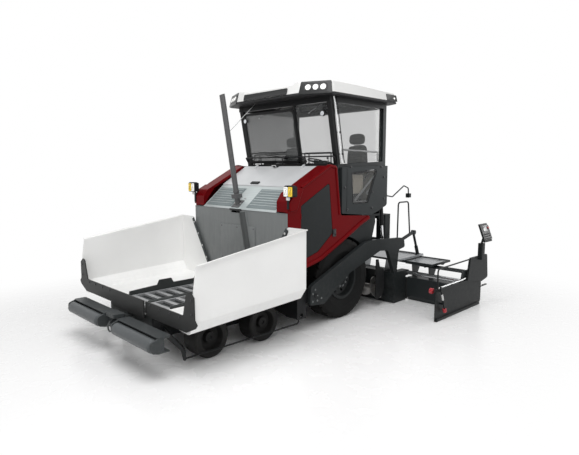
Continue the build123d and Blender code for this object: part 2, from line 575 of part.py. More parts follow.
# the roof's corners are cut off, wider at the front, where raised pods hold the work lamps
ROOF_LOW_TOP_Z = 3900                  # top between the pods and at the rear edge
ROOF_NOSE_X, ROOF_NOSE_Y = 775, -50    # where a front corner's cut starts and ends
ROOF_TAIL_X, ROOF_TAIL_Y = 1050, 1740
roof_corners = [
    (ROOF_NOSE_X, ROOF_FRONT_Y), (ROOF_HALF, ROOF_NOSE_Y), (ROOF_HALF, ROOF_TAIL_Y),
    (ROOF_TAIL_X, ROOF_REAR_Y),
]
roof_outline = roof_corners + [(-x, y) for x, y in reversed(roof_corners)]
with BuildPart() as roof:
    with BuildSketch(Plane.XY.offset(ROOF_Z)):
        add(outline(Plane.XY, [(x, y, 110) for x, y in roof_outline]))
    extrude(amount=ROOF_TOP_Z - ROOF_Z, taper=15)
    fillet(roof.faces().sort_by(Axis.Z)[-1].edges(), 30)
    # the top is lower between the pods, and falls towards the rear
    dip = ROOF_NOSE_X - 95
    cross_plate(
        [
            (-dip, ROOF_TOP_Z + 1), (70 - dip, ROOF_LOW_TOP_Z), (dip - 70, ROOF_LOW_TOP_Z),
            (dip, ROOF_TOP_Z + 1),
        ],
        (ROOF_FRONT_Y - 1, ROOF_REAR_Y + 1), mode=Mode.SUBTRACT,
    )
    side_plate(
        [
            (150, ROOF_TOP_Z + 1), (150, ROOF_TOP_Z), (ROOF_REAR_Y + 1, ROOF_LOW_TOP_Z),
            (ROOF_REAR_Y + 1, ROOF_TOP_Z + 1),
        ],
        (-ROOF_HALF, ROOF_HALF), mode=Mode.SUBTRACT,
    )
    with BuildSketch(Plane.XY.offset(ROOF_Z)):
        with Locations((0, (ROOF_NOSE_Y + ROOF_REAR_Y) / 2)):
            RectangleRounded(2 * ROOF_HALF - 500, ROOF_REAR_Y - ROOF_NOSE_Y - 400, 60)
    extrude(amount=120, mode=Mode.SUBTRACT)

side_panel_profile = [
    (335, 2590, 10), (335, 1820, 20), (1150, 1740, 60), (1360, 1800, 60), (1640, 1900, 60), (1640, 2620, 10),
]
window_corners = [(580, 2500, 40), (1330, 2560, 40), (1060, 1965, 50), (620, 1965, 50)]
WINDOW_RIM = 35
with BuildPart() as cab_side_panels:
    side_plate(side_panel_profile, (POST_X, HALF_WIDTH - 4))
    # the back is hollowed, but for a rim and the surround of the window
    with BuildSketch(Plane.YZ.offset(POST_X)):
        add(outline(Plane.XY, side_panel_profile))
        offset(amount=-WINDOW_RIM, mode=Mode.REPLACE)
        with BuildSketch(Plane.XY, mode=Mode.SUBTRACT):
            add(outline(Plane.XY, window_corners))
            offset(amount=WINDOW_RIM, mode=Mode.REPLACE)
    extrude(amount=34, mode=Mode.SUBTRACT)
    side_plate(window_corners, (POST_X, HALF_WIDTH - 4), mode=Mode.SUBTRACT)
    mirror(about=Plane.YZ)

with BuildPart() as cab_glass:
    side_plate(window_corners, (POST_X + 20, POST_X + 26))
    side_plate(
        [
            (FRONT_FOOT_Y + PILLAR + 8, SILL_Z + 10), (FRONT_HEAD_Y + PILLAR + 25, BEAM_Z[0]),
            (REAR_POST_Y[0], BEAM_Z[0]), (REAR_POST_Y[0], SILL_Z + 62),
        ],
        (POST_X - 50, POST_X - 44),
    )
    mirror(about=Plane.YZ)
    # windscreens: the wide one inside its frame, the narrow one between the mullion and the post
    with BuildSketch(screen_plane.offset(-12)):
        with Locations((WIDE_X, SCREEN_V)):
            RectangleRounded(WIDE_W - 2 * SCREEN_BAR, SCREEN_H - 2 * SCREEN_BAR, 70)
    extrude(amount=-6)
    with BuildSketch(screen_plane.offset(-20)):
        with Locations(((MULLION_X + 20 + POST_X - POST_W) / 2, SCREEN_V + 10)):
            Rectangle(POST_X - POST_W - MULLION_X - 20, SCREEN_H + 30)
    extrude(amount=-6)

CONSOLE_Y = 345        # the grab rail and the rear edge of the shelf inside the windscreen
with BuildPart() as console:
    side_plate(
        [(330, 2470, 20), (330, 2600), (400, 2665, 30), (560, 2610, 30), (545, 2480, 30)], (-700, 700),
    )
    block((-60, 60), (400, 500), (PLATFORM_Z, 2480))
    block((100 - POST_X, POST_X - 100), (121, 360), (2590, 2600))
    for x in (-665, 665):
        with Locations((x, CONSOLE_Y + 60, 2650)):
            Box(200, 120, 110)
    bent_tube(
        [(110 - POST_X, CONSOLE_Y, 2600), (110 - POST_X, CONSOLE_Y, 2830), (POST_X - 110, CONSOLE_Y, 2830),
         (POST_X - 110, CONSOLE_Y, 2600)],
        50, 13,
    )
    for x in (-430, 430):
        bar((x, CONSOLE_Y, 2600), (x, CONSOLE_Y, 2830), 10)

with BuildPart() as seat_cushions:
    with Locations((SEAT_X, SEAT_Y, SEAT_Z + 75)):
        Box(490, 480, 150)
    fillet(seat_cushions.edges().filter_by(Axis.Z), 50)
    with Locations((SEAT_X, SEAT_Y + 260, SEAT_Z + 430)):
        Box(470, 130, 560)
    with Locations((SEAT_X, SEAT_Y + 260, SEAT_Z + 800)):
        Box(290, 100, 150)
    for x in (SEAT_X - 60, SEAT_X + 60):
        bar((x, SEAT_Y + 260, SEAT_Z + 700), (x, SEAT_Y + 260, SEAT_Z + 730), 8)
    mirror(about=Plane.YZ)

# =====================================================================================
# Running gear
# =====================================================================================
SPINDLE_R = 30
KING_R = 25
BEAM_LOW_Z, BEAM_HIGH_Z = 225, 335
steered_wheels_y = (BOGIE_Y - BOGIE_SPREAD, BOGIE_Y + BOGIE_SPREAD)

with BuildPart() as front_bogies:
    for y in steered_wheels_y:
        with BuildSketch(Plane.XY.offset(BEAM_LOW_Z)):
            with Locations((KINGPIN_X, y)):
                Circle(55)
            with Locations(((KINGPIN_X + RAIL_OUT + 10) / 2, y)):
                Rectangle(KINGPIN_X - RAIL_OUT - 10, 90)
        extrude(amount=BEAM_HIGH_Z - BEAM_LOW_Z)
    # walking beam, deepest at the pivot
    side_plate(
        [
            (steered_wheels_y[0] - 45, BEAM_LOW_Z, 20), (steered_wheels_y[0] - 45, BEAM_HIGH_Z, 20),
            (steered_wheels_y[0] + 90, BEAM_HIGH_Z, 100), (BOGIE_Y - 90, BEAM_HIGH_Z + 58, 60),
            (BOGIE_Y + 90, BEAM_HIGH_Z + 58, 60), (steered_wheels_y[1] - 90, BEAM_HIGH_Z, 100),
            (steered_wheels_y[1] + 45, BEAM_HIGH_Z, 20), (steered_wheels_y[1] + 45, BEAM_LOW_Z, 20),
        ],
        (RAIL_OUT + 10, RAIL_OUT + 55),
    )
    bar((RAIL_OUT, BOGIE_Y, 345), (RAIL_OUT + 62, BOGIE_Y, 345), 55)
    for y in steered_wheels_y:
        bar((KINGPIN_X, y, BEAM_LOW_Z - 10), (KINGPIN_X, y, BEAM_HIGH_Z + 10),
            KING_R + RUN_GAP, mode=Mode.SUBTRACT)
    mirror(about=Plane.YZ)


def steering_knuckle(y):
    """The yoke, kingpin and wheel spindle of the left wheel at y."""
    low_z, high_z = BEAM_LOW_Z - 30, BEAM_HIGH_Z + 30
    with BuildPart() as knuckle:
        bar((KINGPIN_X, y, low_z), (KINGPIN_X, y, high_z), KING_R)
        for z in (low_z, high_z - 24):
            bar((KINGPIN_X, y, z), (KINGPIN_X, y, z + 24), 55)
            block((KINGPIN_X, KINGPIN_X + 90), (y - 50, y + 50), (z, z + 24))
        block((KINGPIN_X + 64, KINGPIN_X + 90), (y - 50, y + 50), (low_z, high_z))
        bar((KINGPIN_X + 90, y, FRONT_R), (FRONT_OUT - 60, y, FRONT_R), SPINDLE_R)
    return knuckle.part


def front_wheel(y):
    """A solid rubber tyre on its dished rim, as one turned piece: the left wheel at y."""
    inner = FRONT_OUT - FRONT_W
    with BuildPart() as wheel:
        turned(
            [
                (inner, 180), (inner, 258), (inner + 22, FRONT_R), (FRONT_OUT - 22, FRONT_R),
                (FRONT_OUT, 258),
                (FRONT_OUT, 180), (FRONT_OUT - 90, 158), (FRONT_OUT - 100, 85), (FRONT_OUT - 45, 75),
                (FRONT_OUT - 45, SPINDLE_R + RUN_GAP), (FRONT_OUT - 150, SPINDLE_R + RUN_GAP),
                (FRONT_OUT - 150, 165),
            ],
            y, FRONT_R,
        )
    return wheel.part


rear_in = REAR_OUT - REAR_W
with BuildPart() as final_drives:
    turned(
        [
            (RAIL_OUT, 0), (RAIL_OUT, 250), (rear_in - 20, 250), (rear_in + 15, 225), (rear_in + 15, 170),
            (rear_in + 175, 160), (rear_in + 175, 60), (REAR_OUT - 70, 60), (REAR_OUT - 70, 0),
        ],
        REAR_AXLE_Y, REAR_R,
    )
    mirror(about=Plane.YZ)

TREAD_LUGS, GROOVE_W, GROOVE_DEEP, GROOVE_LONG = 24, 34, 22, 150
with BuildPart() as rear_tyre:
    turned(
        [
            (rear_in + 40, REAR_RIM_R), (rear_in, 480), (rear_in + 12, 620), (rear_in + 45, REAR_R),
            (REAR_OUT - 45, REAR_R), (REAR_OUT - 12, 620), (REAR_OUT, 480), (REAR_OUT - 40, REAR_RIM_R),
        ],
        REAR_AXLE_Y, REAR_R,
    )
    # slanting grooves in from both shoulders, half a pitch apart
    for x, shift, slant in ((rear_in + 30, 0, 22), (REAR_OUT - 30, 0.5, -22)):
        for i in range(TREAD_LUGS):
            a = radians(360 * (i + shift) / TREAD_LUGS)
            out = Vector(0, cos(a), sin(a))
            centre = Vector(x, REAR_AXLE_Y, REAR_R) + out * (REAR_R + 10)
            with Locations(Plane(origin=centre, x_dir=(1, 0, 0), z_dir=out).location * Rotation(0, 0, slant)):
                Box(GROOVE_LONG, GROOVE_W, 2 * (GROOVE_DEEP + 10), mode=Mode.SUBTRACT)

HAND_HOLES = 8
with BuildPart() as rear_rim:
    turned(
        [
            (rear_in + 40, REAR_RIM_R - 0.5), (REAR_OUT - 39.5, REAR_RIM_R - 0.5),
            (REAR_OUT - 33, REAR_RIM_R + 20),
            (REAR_OUT - 22, REAR_RIM_R + 20), (REAR_OUT - 22, 305), (REAR_OUT - 120, 285),
            (REAR_OUT - 150, 185),
            (REAR_OUT - 75, 160), (REAR_OUT - 60, 110), (REAR_OUT - 60, 60 + RUN_GAP),
            (REAR_OUT - 190, 60 + RUN_GAP),
            (REAR_OUT - 190, 300), (rear_in + 40, 300),
        ],
        REAR_AXLE_Y, REAR_R,
    )
    for i in range(HAND_HOLES):
        a = radians(360 * (i + 0.5) / HAND_HOLES)
        y, z = REAR_AXLE_Y + 240 * cos(a), REAR_R + 240 * sin(a)
        bar((REAR_OUT - 200, y, z), (REAR_OUT - 80, y, z), 26, mode=Mode.SUBTRACT)

# =====================================================================================
# Hopper wings and flaps
# =====================================================================================
WING_FLOOR_FRONT_Z, WING_STRIP_FRONT_Z, WING_TOP_FRONT_Z = 587, 745, 1430
WING_RISE = 90         # how far the wing's lower edges rise from front to rear
WING_TOP_REAR_Z = 1703
WING_LIP = 30
WING_BEND = 20
BACK_TOP_X = WING_X - 370      # inner upper corner of the wing's back plate


def wing_section(y, rise, top_z):
    """The wing's bent sheet, cut across at y: floor, sloping strip, side wall and top lip."""
    with BuildSketch(Plane.XZ.offset(-y)) as section:
        with BuildLine():
            FilletPolyline(
                (HINGE_X + 10, HINGE_Z + SHEET / 2), (WING_FLOOR_X, WING_FLOOR_FRONT_Z + rise),
                (WING_X - SHEET, WING_STRIP_FRONT_Z + rise), (WING_X - SHEET, top_z),
                (WING_X + WING_LIP, top_z),
                radius=WING_BEND,
            )
            offset(amount=SHEET, side=Side.RIGHT)
        make_face()
    return section.sketch


with BuildPart() as hopper_wing:
    loft([
        wing_section(HOPPER_FRONT_Y, 0, WING_TOP_FRONT_Z).face(),
        wing_section(HOPPER_REAR_Y, WING_RISE, WING_TOP_REAR_Z).face(),
    ], ruled=True)
    # the front edge leans back above the middle of the wall
    side_plate(
        [(HOPPER_FRONT_Y - 5, 1122), (HOPPER_FRONT_Y, 1122), (HOPPER_FRONT_Y + 55, 1480),
            (HOPPER_FRONT_Y - 5, 1480)],
        (WING_X - 100, WING_X + 100), mode=Mode.SUBTRACT,
    )
    cross_plate(
        [
            (HINGE_X + 30, HINGE_Z),
            (WING_FLOOR_X + 3, WING_FLOOR_FRONT_Z + WING_RISE - SHEET / 2),
            (WING_X - SHEET / 2, WING_STRIP_FRONT_Z + WING_RISE - 2),
            (WING_X - SHEET / 2, WING_TOP_REAR_Z - 2),
            (BACK_TOP_X, WING_TOP_REAR_Z - 2, 40), (HINGE_X + 20, HINGE_Z + 60, 20),
        ],
        (HOPPER_REAR_Y - SHEET, HOPPER_REAR_Y),
    )
    bar((HINGE_X, HOPPER_FRONT_Y, HINGE_Z), (HINGE_X, HOPPER_REAR_Y, HINGE_Z), HINGE_R)
    bar((HINGE_X, HOPPER_FRONT_Y, HINGE_Z), (HINGE_X, HOPPER_REAR_Y, HINGE_Z),
        12 + RUN_GAP, mode=Mode.SUBTRACT)
    # ears either side of the hopper cylinder's eye
    for y in (RAM_Y - 34, RAM_Y + 22):
        cross_plate(
            [
                (RAM_HEAD[0] - 60, 640), (RAM_HEAD[0] - 25, 570, 20), (RAM_HEAD[0] + 25, 570, 20),
                (RAM_HEAD[0] + 60, 640),
            ],
            (y, y + 12),
        )
    # gaps in the hinge tube for the lugs
    for y in hinge_lugs_y:
        block((HINGE_X - 40, HINGE_X + 40), (y - LUG_HALF - MOVE_GAP, y + LUG_HALF + MOVE_GAP),
              (HINGE_Z - 40, HINGE_Z + 40), mode=Mode.SUBTRACT)

ram_run = (Vector(RAM_HEAD[0], 0, RAM_HEAD[1]) - Vector(RAM_FOOT[0], 0, RAM_FOOT[1])).normalized()


def ram_point(along):
    """A point of the hopper cylinder's axis, measured from its foot pin."""
    return (RAM_FOOT[0] + ram_run.X * along, RAM_Y, RAM_FOOT[1] + ram_run.Z * along)


def ram_pin(place, half, radius, mode=Mode.ADD):
    """A round piece along the machine, centred on a pin of the hopper cylinder."""
    bar((place[0], RAM_Y - half, place[1]), (place[0], RAM_Y + half, place[1]), radius, mode=mode)


ram_length = (Vector(*RAM_HEAD) - Vector(*RAM_FOOT)).length
with BuildPart() as ram_barrel:
    bar(ram_point(10), ram_point(330), RAM_R)
    ram_pin(RAM_FOOT, 20, 32)
    ram_pin(RAM_FOOT, RAM_R + 1, 14 + RUN_GAP, mode=Mode.SUBTRACT)
    bar(ram_point(40), ram_point(340), 20 + RUN_GAP, mode=Mode.SUBTRACT)

with BuildPart() as ram_rod:
    bar(ram_point(240), ram_point(ram_length), 20)
    ram_pin(RAM_HEAD, 16, 30)

# rubber flap across the front of the wing, and the seal strip along its back plate's slanting edge
SEAL_FOOT, SEAL_HEAD = (HINGE_X + 47, HINGE_Z + 96), (BACK_TOP_X - 16, WING_TOP_REAR_Z - 45)
seal_side = (Vector(*SEAL_HEAD) - Vector(*SEAL_FOOT)).normalized().rotate(Axis.Z, 90)
with BuildPart() as wing_flap:
    cross_plate(
        [
            (480, 600), (480, 800, 15), (WING_X - 215, 800, 30), (WING_X - 130, 1100, 12),
            (WING_X - 60, 1118, 20),
            (WING_X + 25, 1060, 15), (WING_X + 30, 790, 20), (WING_X + 82, 740, 12), (WING_X + 40, 690, 12),
            (WING_X - 150, 600, 30),
        ],
        (HOPPER_FRONT_Y - 16, HOPPER_FRONT_Y),
    )
    cross_plate(
        [
            tuple(foot + seal_side * reach)[:2]
            for foot, reach in (
                (Vector(*SEAL_FOOT), 22), (Vector(*SEAL_HEAD), 22), (Vector(*SEAL_HEAD), -38),
                (Vector(*SEAL_FOOT), -38),
            )
        ],
        (HOPPER_REAR_Y - SHEET - 10, HOPPER_REAR_Y - SHEET),
    )

with BuildPart() as centre_flap:
    cross_plate(
        [(-470, 560, 30), (-470, 815, 15), (470, 815, 15), (470, 560, 30)],
        (HOPPER_FRONT_Y - 42, HOPPER_FRONT_Y - 26),
    )
    block((-300, 300), (HOPPER_FRONT_Y - 26, -2880), (560, 590))

# =====================================================================================
# Push beam with its two truck rollers
# =====================================================================================
BEAM_HALF = HALF_WIDTH + 70
BEAM_FRONT_Y, BEAM_BACK_Y = -3110, -3020
PIVOT_Y = -2950
ROLLER_R, ROLLER_Z, ROLLER_BORE = 85, 440, 20
ROLLER_Y = FRONT_Y + ROLLER_R
ROLLER_IN, ROLLER_OUT = 235, BEAM_HALF - 30
with BuildPart() as push_beam:
    # channel, open to the rear
    side_plate(
        [
            (BEAM_FRONT_Y, 350, 15), (BEAM_FRONT_Y, 540, 15), (BEAM_BACK_Y, 540), (BEAM_BACK_Y, 525),
            (BEAM_FRONT_Y + 15, 525), (BEAM_FRONT_Y + 15, 365), (BEAM_BACK_Y, 365), (BEAM_BACK_Y, 350),
        ],
        (-BEAM_HALF, BEAM_HALF),
    )
    with BuildSketch(Plane.XY.offset(421)):
        with Locations((0, (BEAM_FRONT_Y + 10 + PIVOT_Y) / 2)):
            Rectangle(90, PIVOT_Y - BEAM_FRONT_Y - 10)
        with Locations((0, PIVOT_Y)):
            Circle(45)
    extrude(amount=78)
    bar((0, PIVOT_Y, 385), (0, PIVOT_Y, 535), 30)
    # plates that hold the rollers' shafts, and the deck above
    for low in (ROLLER_IN - 35, BEAM_HALF - 25, 35 - ROLLER_IN - 25, -BEAM_HALF):
        side_plate(
            [
                (ROLLER_Y - 58, 375, 45), (ROLLER_Y - 58, 505, 45), (ROLLER_Y + 40, 540, 30),
                (BEAM_FRONT_Y + 5, 540),
                (BEAM_FRONT_Y + 5, 350), (ROLLER_Y + 40, 350, 30),
            ],
            (low, low + 25),
        )
    for side in (-1, 1):
        bar((side * (ROLLER_IN - 30), ROLLER_Y, ROLLER_Z),
            (side * (ROLLER_OUT + 10), ROLLER_Y, ROLLER_Z), ROLLER_BORE)
        flat_plate(
            [
                (side * (ROLLER_IN - 35), -3180, 15), (side * BEAM_HALF, -3180, 30),
                (side * BEAM_HALF, -3000, 30),
                (side * (ROLLER_IN - 35), -3000, 15),
            ],
            (540, 552),
        )
    # raised box over the coupling, and the lug with its tow ring
    flat_plate([(-155, -3035, 20), (-115, -3195, 20), (115, -3195, 20), (155, -3035, 20)], (540, 592))
    side_plate([(BEAM_FRONT_Y, 380), (BEAM_FRONT_Y, 500), (-3205, 480, 30), (-3205, 405, 30)], (-15, 15))
    with BuildSketch(Plane.XZ.offset(3190)):
        with Locations((0, 392)):
            Circle(66)
            Circle(47, mode=Mode.SUBTRACT)
    extrude(amount=14)

with BuildPart() as push_roller:
    turned(
        [
            (ROLLER_IN, ROLLER_BORE + RUN_GAP), (ROLLER_IN, 52), (ROLLER_IN + 9, 74),
            (ROLLER_IN + 32, ROLLER_R),
            (ROLLER_OUT - 32, ROLLER_R), (ROLLER_OUT - 9, 74), (ROLLER_OUT, 52),
            (ROLLER_OUT, ROLLER_BORE + RUN_GAP),
        ],
        ROLLER_Y, ROLLER_Z,
    )

# =====================================================================================
# Augers: helical flights of opposite hands, turning on a fixed shaft
# =====================================================================================
AUGER_Y, AUGER_Z = SCREED_FRONT_Y - 240, 330
AUGER_R, TUBE_R, AUGER_SHAFT_R = 190, 45, 20
AUGER_IN, AUGER_OUT = 70, HALF_WIDTH - 50
AUGER_PITCH, FLIGHT = 300, 12
with BuildPart() as auger_carrier:
    # channel across the rear of the frame
    side_plate(
        [
            (RAIL_REAR_Y, 620), (RAIL_REAR_Y, 720), (RAIL_REAR_Y + 150, 720), (RAIL_REAR_Y + 150, 705),
            (RAIL_REAR_Y + 15, 705), (RAIL_REAR_Y + 15, 635), (RAIL_REAR_Y + 150, 635),
            (RAIL_REAR_Y + 150, 620),
        ],
        (-HALF_WIDTH + 20, HALF_WIDTH - 20),
    )
    # end shields with the outer bearings
    for low in (20 - HALF_WIDTH, HALF_WIDTH - 40):
        side_plate(
            [
                (RAIL_REAR_Y + 30, 150, 20), (RAIL_REAR_Y + 30, 900, 15), (RAIL_REAR_Y + 95, 900, 15),
                (RAIL_REAR_Y + 150, 720, 60), (AUGER_Y + 60, 700, 60), (AUGER_Y + 75, 330, 100),
                (AUGER_Y + 20, 190, 60), (RAIL_REAR_Y + 110, 150, 30),
            ],
            (low, low + 20),
        )
    # gearbox between the augers
    side_plate(
        [
            (RAIL_REAR_Y + 20, 640), (RAIL_REAR_Y + 20, 500, 60), (AUGER_Y - 90, 310, 50),
            (AUGER_Y - 70, 240, 50),
            (AUGER_Y + 60, 240, 50), (AUGER_Y + 85, 420, 60), (RAIL_REAR_Y + 150, 640),
        ],
        (-60, 60),
    )
    bar((-AUGER_OUT - 10, AUGER_Y, AUGER_Z), (AUGER_OUT + 10, AUGER_Y, AUGER_Z), AUGER_SHAFT_R)

with BuildPart() as auger:
    flight_mid = (TUBE_R + AUGER_R) / 2 - 2
    with BuildLine() as flight_path:
        Helix(pitch=AUGER_PITCH, height=AUGER_OUT - AUGER_IN - 20, radius=flight_mid,
              center=(AUGER_IN + 10, AUGER_Y, AUGER_Z), direction=(1, 0, 0))
    start = flight_path.line @ 0
    inwards = Vector(start.X, AUGER_Y, AUGER_Z) - start
    with BuildSketch(Plane(origin=start, z_dir=flight_path.line % 0, x_dir=inwards)) as flight_end:
        Rectangle(AUGER_R - TUBE_R + 4, FLIGHT)
    sweep(flight_end.sketch, path=flight_path.line, is_frenet=True)
    bar((AUGER_IN, AUGER_Y, AUGER_Z), (AUGER_OUT, AUGER_Y, AUGER_Z), TUBE_R)
    bar((AUGER_IN, AUGER_Y, AUGER_Z), (AUGER_OUT, AUGER_Y, AUGER_Z),
        AUGER_SHAFT_R + RUN_GAP, mode=Mode.SUBTRACT)

# =====================================================================================
# Screed: tow arms, main body and walkway
# =====================================================================================
LINK_X = (ARM_IN + ARM_OUT) / 2
CRADLE_Y, CRADLE_Z = SCREED_FRONT_Y + 100, 1180
arm_profile = [
    (-516, 421, 40), (-496, 723, 60), (886, 1276, 200), (1181, 1299, 200), (1989, 1256, 80),
    (SCREED_FRONT_Y + 330, 1242, 60), (SCREED_FRONT_Y + 373, 1062, 40), (SCREED_FRONT_Y + 160, 1031, 60),
    (SCREED_FRONT_Y + 110, SCREED_TOP_Z), (SCREED_FRONT_Y + 20, SCREED_TOP_Z),
    (SCREED_FRONT_Y - 200, 1060, 80),
    (1343, 1080, 200), (479, 802, 200), (-183, 388, 60),
]
with BuildPart() as tow_arms:
    side_plate(arm_profile, (ARM_IN, ARM_OUT))
    bar((ARM_IN, TOW_Y, TOW_Z), (ARM_OUT, TOW_Y, TOW_Z), TOW_PIN_R + RUN_GAP, mode=Mode.SUBTRACT)
    bar((LIFT_X + 36, *LIFT_FOOT), (ARM_IN, *LIFT_FOOT), 30)
    # levelling spindle behind the arm, down to a bracket of the screed
    bar((LINK_X, SCREED_FRONT_Y + 250, 1190), (LINK_X, SCREED_FRONT_Y + 720, 1318), 32)
    bar((LINK_X - 34, SCREED_FRONT_Y + 720, 1310), (LINK_X + 34, SCREED_FRONT_Y + 720, 1310), 46)
    bar((LINK_X, SCREED_FRONT_Y + 720, 1300), (LINK_X, SCREED_FRONT_Y + 860, 960), 24)
    bar((LINK_X, SCREED_FRONT_Y + 835, 1020), (LINK_X, SCREED_FRONT_Y + 899, 864), 34)
    block((ARM_IN, ARM_OUT - 15), (SCREED_FRONT_Y + 850, SCREED_FRONT_Y + 950),
          (WALK_Z + BORDER_H + RUN_GAP, WALK_Z + BORDER_H + 14))
    # loop handrail
    bent_tube(
        [
            (LINK_X - 10, SCREED_FRONT_Y + 165, 1230), (LINK_X - 10, SCREED_FRONT_Y + 175, 1930),
            (LINK_X - 10, SCREED_FRONT_Y + 520, 1930), (LINK_X - 10, SCREED_FRONT_Y + 600, 1290),
        ],
        60, 14,
    )
    # tube between the arms, which carries the two control boxes
    bar((0, CRADLE_Y, CRADLE_Z), (ARM_IN, CRADLE_Y, CRADLE_Z), 50)
    with BuildSketch(Plane.XY.offset(CRADLE_Z + 20)):
        with Locations((LIFT_X - 160, CRADLE_Y + 25)):
            RectangleRounded(210, 190, 25)
    extrude(amount=500)
    mirror(about=Plane.YZ)

with BuildPart() as screed_body:
    side_plate(
        [
            (SCREED_FRONT_Y + 60, SCREED_Z), (SCREED_REAR_Y, SCREED_Z), (SCREED_REAR_Y, 520, 30),
            (SCREED_REAR_Y - 80, SCREED_TOP_Z, 30), (SCREED_FRONT_Y + 20, SCREED_TOP_Z),
            (SCREED_FRONT_Y, 560),
            (SCREED_FRONT_Y, 330, 60), (SCREED_FRONT_Y + 45, 280, 60), (SCREED_FRONT_Y + 45, 120, 30),
            (SCREED_FRONT_Y, 70, 20), (SCREED_FRONT_Y, 30),
        ],
        (-SCREED_HALF, SCREED_HALF),
    )
    # sole plate, which stands out behind
    block((-SCREED_HALF, SCREED_HALF), (SCREED_REAR_Y - 10, SCREED_REAR_Y + 12), (SCREED_Z, SCREED_Z + 22))
    # sleeves that the extensions' guide tubes slide in
    for low, high in ((5 - SCREED_HALF, 150 - SCREED_HALF), (SCREED_HALF - 150, SCREED_HALF - 5)):
        side_plate(
            [
                (SCREED_REAR_Y - 90, GUIDE_Z - 55), (SCREED_REAR_Y - 90, GUIDE_Z + 55, 20),
                (GUIDE_Y + 55, GUIDE_Z + 55, 50), (GUIDE_Y + 55, GUIDE_Z - 55, 50),
            ],
            (low, high),
        )
        bar((low, GUIDE_Y, GUIDE_Z), (high, GUIDE_Y, GUIDE_Z), GUIDE_R + RUN_GAP, mode=Mode.SUBTRACT)

WALK_HALF, WALK_FRONT_Y, WALK_REAR_Y = SCREED_HALF - 10, SCREED_FRONT_Y + 160, SCREED_REAR_Y + 670
with BuildPart() as screed_walkway:
    block((-WALK_HALF, WALK_HALF), (WALK_FRONT_Y, WALK_REAR_Y), (WALK_Z, WALK_Z + 15))
    # raised border
    with BuildSketch(Plane.XY.offset(WALK_Z)):
        with Locations((0, (WALK_FRONT_Y + WALK_REAR_Y) / 2)):
            RectangleRounded(2 * WALK_HALF, WALK_REAR_Y - WALK_FRONT_Y, 20)
            RectangleRounded(2 * WALK_HALF - 70, WALK_REAR_Y - WALK_FRONT_Y - 70, 20, mode=Mode.SUBTRACT)
    extrude(amount=BORDER_H)
    for x in (-1000, -500, 0, 500, 1000):
        side_plate(
            [
                (WALK_FRONT_Y - 50, SCREED_TOP_Z), (WALK_FRONT_Y, WALK_Z + 5),
                (SCREED_REAR_Y - 82, WALK_Z + 5),
                (SCREED_REAR_Y - 82, WALK_Z - 40, 30), (SCREED_REAR_Y - 120, SCREED_TOP_Z),
            ],
            (x - 8, x + 8),
        )

# =====================================================================================
# Screed extensions and end gates
# =====================================================================================
EXT_DECK_X, EXT_DECK_Z = EXT_IN + 410, 740
RAIL_BARS, BAR_PITCH, BAR_Z = 4, 75, 700
with BuildPart() as extension:
    side_plate(
        [
            (EXT_FRONT_Y + 50, SCREED_Z), (EXT_REAR_Y, SCREED_Z), (EXT_REAR_Y, 400, 40),
            (EXT_REAR_Y - 60, EXT_TOP_Z, 40),
            (EXT_FRONT_Y, EXT_TOP_Z, 20), (EXT_FRONT_Y, 90, 30),
        ],
        (EXT_IN, EXT_OUT),
    )
    bar((EXT_IN - 170, GUIDE_Y, GUIDE_Z), (EXT_OUT, GUIDE_Y, GUIDE_Z), GUIDE_R)
    # outer bracket that holds the guide tube and the bars
    side_plate(
        [
            (EXT_FRONT_Y, EXT_TOP_Z - 20), (EXT_FRONT_Y, GUIDE_Z + 50, 30),
            (EXT_FRONT_Y + 40, BAR_Z + 30, 20),
            (EXT_REAR_Y - 60, BAR_Z + 30, 20), (EXT_REAR_Y - 70, EXT_TOP_Z - 20),
        ],
        (EXT_OUT - 12, EXT_OUT),
    )
    # deck on two legs, with a sloping plate at its outer end
    for x in (EXT_IN + 30, EXT_DECK_X - 20):
        side_plate(
            [
                (EXT_FRONT_Y + 140, EXT_TOP_Z - 10), (EXT_FRONT_Y + 100, EXT_DECK_Z + 5),
                (EXT_REAR_Y + 60, EXT_DECK_Z + 5), (EXT_REAR_Y - 110, EXT_TOP_Z - 10),
            ],
            (x, x + 12),
        )
    block((EXT_IN + 10, EXT_DECK_X), (SCREED_REAR_Y - 60, SCREED_REAR_Y + 630), (EXT_DECK_Z, EXT_DECK_Z + 15))
    side_plate(
        [
            (SCREED_REAR_Y - 60, EXT_DECK_Z - 30, 20), (SCREED_REAR_Y - 60, EXT_DECK_Z + 15, 10),
            (SCREED_REAR_Y + 630, WALK_Z - 12, 15), (SCREED_REAR_Y + 630, EXT_DECK_Z - 50, 30),
        ],
        (EXT_DECK_X, EXT_DECK_X + 12),
    )
    for i in range(RAIL_BARS):
        y = EXT_FRONT_Y + 60 + i * BAR_PITCH
        bar((EXT_DECK_X + 6, y, BAR_Z), (EXT_OUT - 6, y, BAR_Z), 11)

